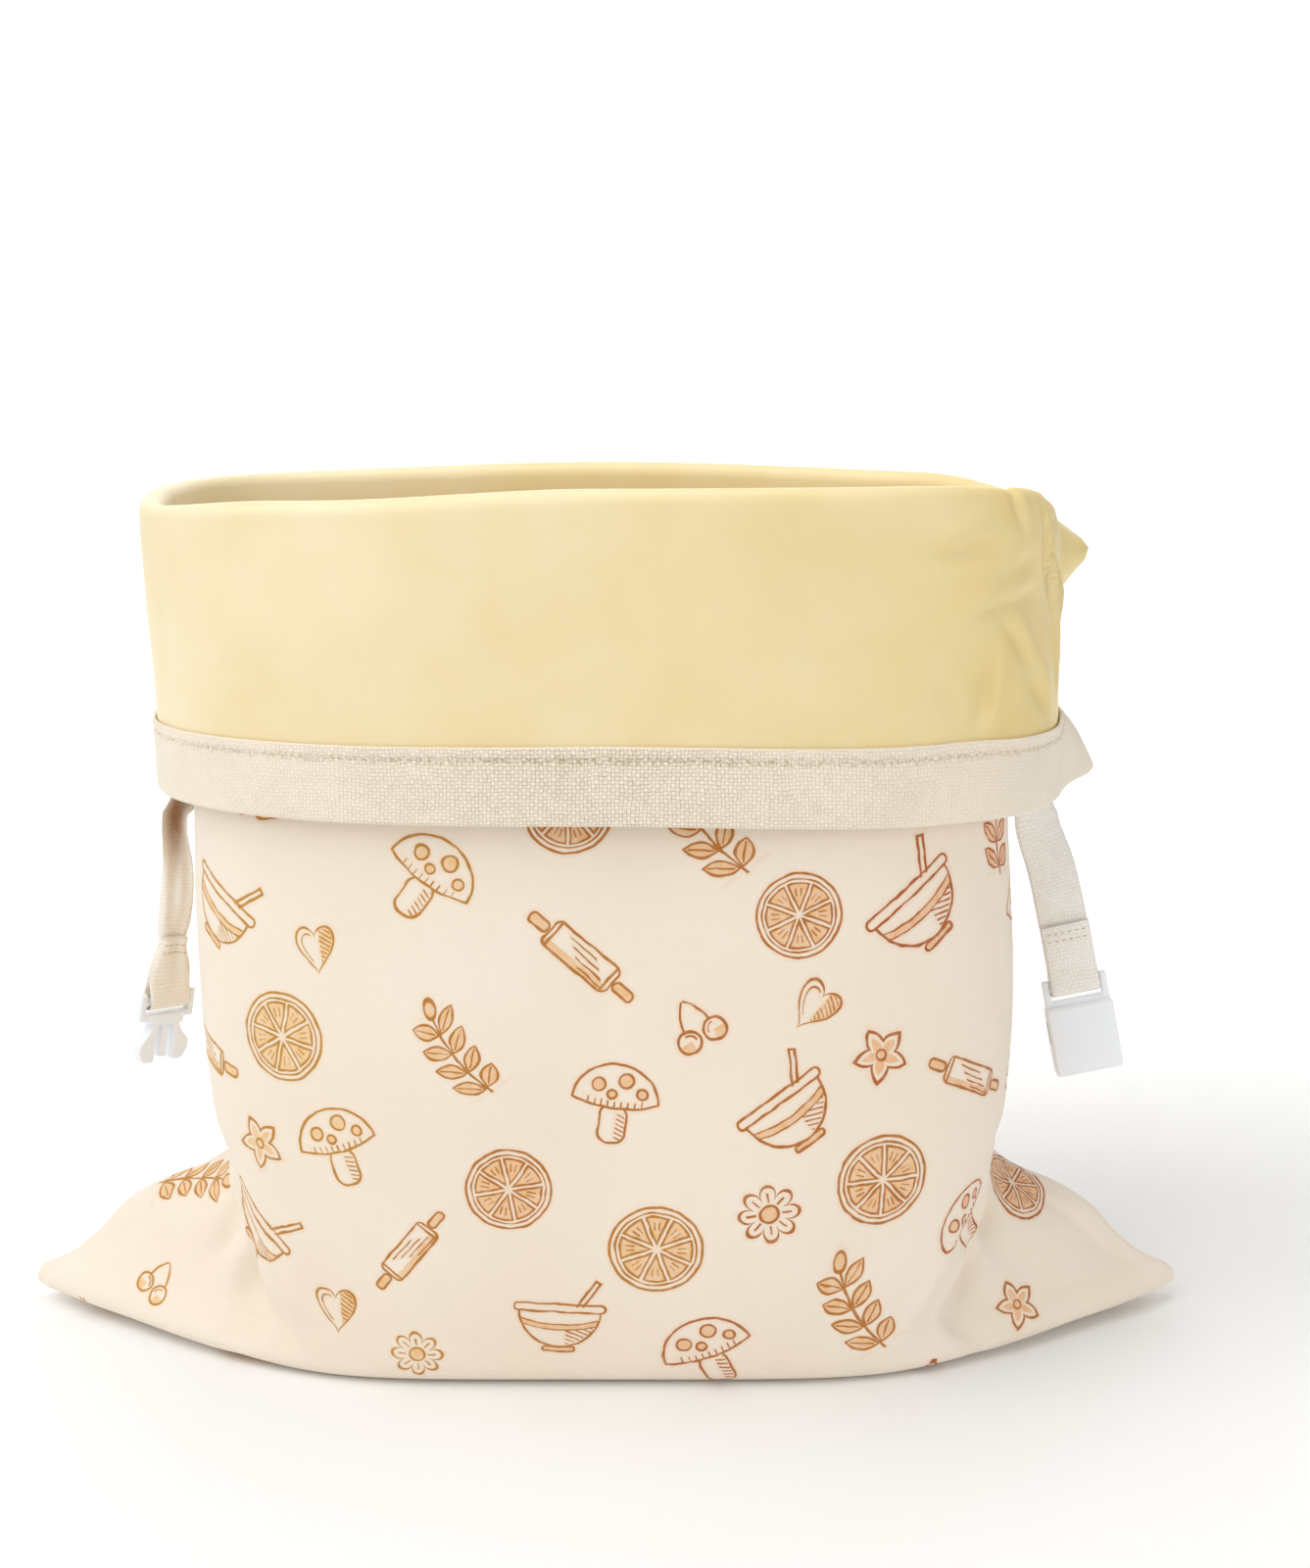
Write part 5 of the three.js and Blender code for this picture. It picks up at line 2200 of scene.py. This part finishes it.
@dataclass
class Studio:
    """The floor, the light and the camera."""

    camera_place: tuple[float, float, float] = (0.016, -0.700, 0.318)
    pitch_down: float = 11.3
    focal_px: float = 2268.0
    frame_px: int = 1600
    sensor_mm: float = 36.0
    floor_half: float = 2.2
    wall_high: float = 2.6
    sweep_round: float = 0.8
    sweep_steps: int = 16
    nearest: float = 0.01
    surround: float = 0.32

    def camera(self) -> None:
        """Sets the camera at the photograph's place and angle."""
        data = bpy.data.cameras.new("camera")
        data.sensor_fit = "AUTO"
        data.sensor_width = self.sensor_mm
        data.lens = self.focal_px / self.frame_px * self.sensor_mm
        data.clip_start = self.nearest
        camera = bpy.data.objects.new("camera", data)
        camera.location = self.camera_place
        camera.rotation_euler = (math.radians(90 - self.pitch_down), 0, 0)
        bpy.context.scene.collection.objects.link(camera)
        bpy.context.scene.camera = camera

    def floor(self, material: Material) -> None:
        """Lays the floor as a sweep: flat under the bag and curved up far behind it.

        Args:
            material: the paper.
        """
        bpy.ops.object.select_all(action="DESELECT")
        bpy.ops.mesh.primitive_plane_add(size=2 * self.floor_half, location=(0, 0, 0))
        floor = bpy.context.object
        floor.name = "floor"
        bpy.ops.object.mode_set(mode="EDIT")
        bpy.ops.mesh.select_mode(type="EDGE")
        bpy.ops.mesh.select_all(action="DESELECT")
        bpy.ops.object.mode_set(mode="OBJECT")
        for edge in floor.data.edges:
            edge.select = all(floor.data.vertices[i].co.y > 0 for i in edge.vertices)
        bpy.ops.object.mode_set(mode="EDIT")
        bpy.ops.mesh.extrude_region_move(TRANSFORM_OT_translate={"value": (0, 0, self.wall_high)})
        bpy.ops.object.mode_set(mode="OBJECT")
        bevel = floor.modifiers.new("sweep", "BEVEL")
        bevel.width = self.sweep_round
        bevel.segments = self.sweep_steps
        bpy.ops.object.modifier_apply(modifier=bevel.name)
        floor.data.shade_smooth()
        floor.data.materials.append(material)

    def area(self, lamp: Lamp) -> None:
        """Hangs one lamp.

        Args:
            lamp: the lamp.
        """
        data = bpy.data.lights.new(lamp.name, "AREA")
        data.shape = "SQUARE"
        data.size = lamp.size
        data.energy = lamp.power
        light = bpy.data.objects.new(lamp.name, data)
        light.location = lamp.place
        light.rotation_euler = (Vector(lamp.aim) - Vector(lamp.place)).to_track_quat("-Z", "Y").to_euler()
        bpy.context.scene.collection.objects.link(light)

    def light(self) -> None:
        """Hangs a soft light overhead, a large key from the left front, a fill from the right front and one
        light for the sweep, in a dim white surround."""
        for lamp in LAMPS:
            self.area(lamp)
        world = bpy.data.worlds.new("surround")
        world.use_nodes = True
        white = {"Color": colour("#ffffff"), "Strength": self.surround}
        feed(world.node_tree, world.node_tree.nodes["Background"], white)
        bpy.context.scene.world = world
        bpy.context.scene.view_settings.view_transform = "Standard"


STRAP_LEFT = (
    Station(-137.7, -1, 170, 82),
    Station(-138.1, -1.5, 150, 80),
    Station(-140.6, -1.5, 127, 58),
    Station(-144.0, -1, 106.4, 42),
)
STRAP_RIGHT = (
    Station(138.8, -1, 169, 66),
    Station(144.3, -1.5, 150, 82),
    Station(149.2, -1.5, 130, 90),
    Station(153, -1.5, 111.4, 90),
)


# How high the webbing's threads stand in its weave, in metres
WEBBING_RELIEF = 0.00018


def build_bag() -> None:
    """Builds and dresses every piece of the bag in order, from the printed cloth to the buckle."""
    shape = BagShape()
    sheet = shape.sheet()
    thread = SewingThread().make()
    tape = WovenCotton("cotton binding tape", "#fdf1de", "#b09c7c", 1.15, 1.05, pressed=1.0, seam_mm=4.0)
    webbing = WovenCotton("cotton webbing", "#fffcf6", "#e6dccb", 1.0, 1.3, WEBBING_RELIEF)
    # The left strap's webbing is a warmer copy of the other: painted warm light, standing in for the warm
    # bounce it gets in shade.
    warm = WovenCotton("cotton webbing with painted warm shade", "#fff9ee", "#ecdbc0", 1.0, 1.3, WEBBING_RELIEF)
    # The brown given here is a painted shade in the gutter of the left strap's curl.
    warm = replace(warm, stain="#ad7b49")
    plastic = MouldedPlastic().make()

    printed = ClothLayer("printed_cloth", "printed_cotton", 0.0, PRINTED)
    body = printed.build(shape, sheet)
    rows, columns = sheet.points.shape[:2]
    face = sheet.at_depth(0.0)
    # Only the base and the wall show the print: the rows over the rim and of the cuff are left out
    upright = rows - round((RIM - EDGE) / shape.cuff_step) - shape.turn_steps
    rise = np.gradient(face, axis=0)
    facing = outward(rise, np.gradient(face, axis=1))
    layout = PrintLayout(*(part[:upright].reshape(-1, 3) for part in (face, facing, rise)))
    layout.toss()
    outer = np.zeros(len(body.data.vertices))
    outer[: upright * columns] = 1
    layout.press(body, outer)
    printed.dress(body, PrintedCotton().make())
    LOG.info("printed cloth: %d faces, %d drawings", len(body.data.polygons), len(layout.stamps))

    waxed = ClothLayer("waxed_lining", "waxed_lining", LINING_FACE, CUFF_FACE)
    lining = waxed.build(shape, sheet)
    waxed.dress(lining, WaxedCotton().make())
    LOG.info("waxed lining: %d faces", len(lining.data.polygons))

    hem = HemBand(shape)
    band = hem.build()
    hem.dress(band, hem.stitches(), tape.make(), thread)
    LOG.info("hem band: %d faces", len(band.data.polygons))

    bunched = Strap("strap_left", 180.0, STRAP_LEFT, Bunching(gutter=8.2, pinch=1.4, gather=0.34))
    plain = Strap("strap_right", 0.0, STRAP_RIGHT)
    prong, socket = ProngHalf("buckle_prong"), SocketHalf("buckle_socket")
    for strap, buckle, cloth in ((bunched, prong, warm), (plain, socket, webbing)):
        piece = strap.build(shape)
        strap.dress(piece, strap.stitches(strap.name + "_stitches"), cloth.make(), thread)
        half = buckle.build(strap)
        buckle.dress(half, plastic)
        LOG.info("%s: %d faces", strap.name, len(piece.data.polygons))
        LOG.info("%s: %d faces", buckle.name, len(half.data.polygons))


def main() -> None:
    """Builds the bag and the studio."""
    logging.basicConfig(level=logging.INFO, format="%(message)s")
    studio = Studio()
    studio.camera()
    build_bag()
    studio.floor(StudioPaper().make())
    studio.light()


if __name__ == "__main__":
    main()
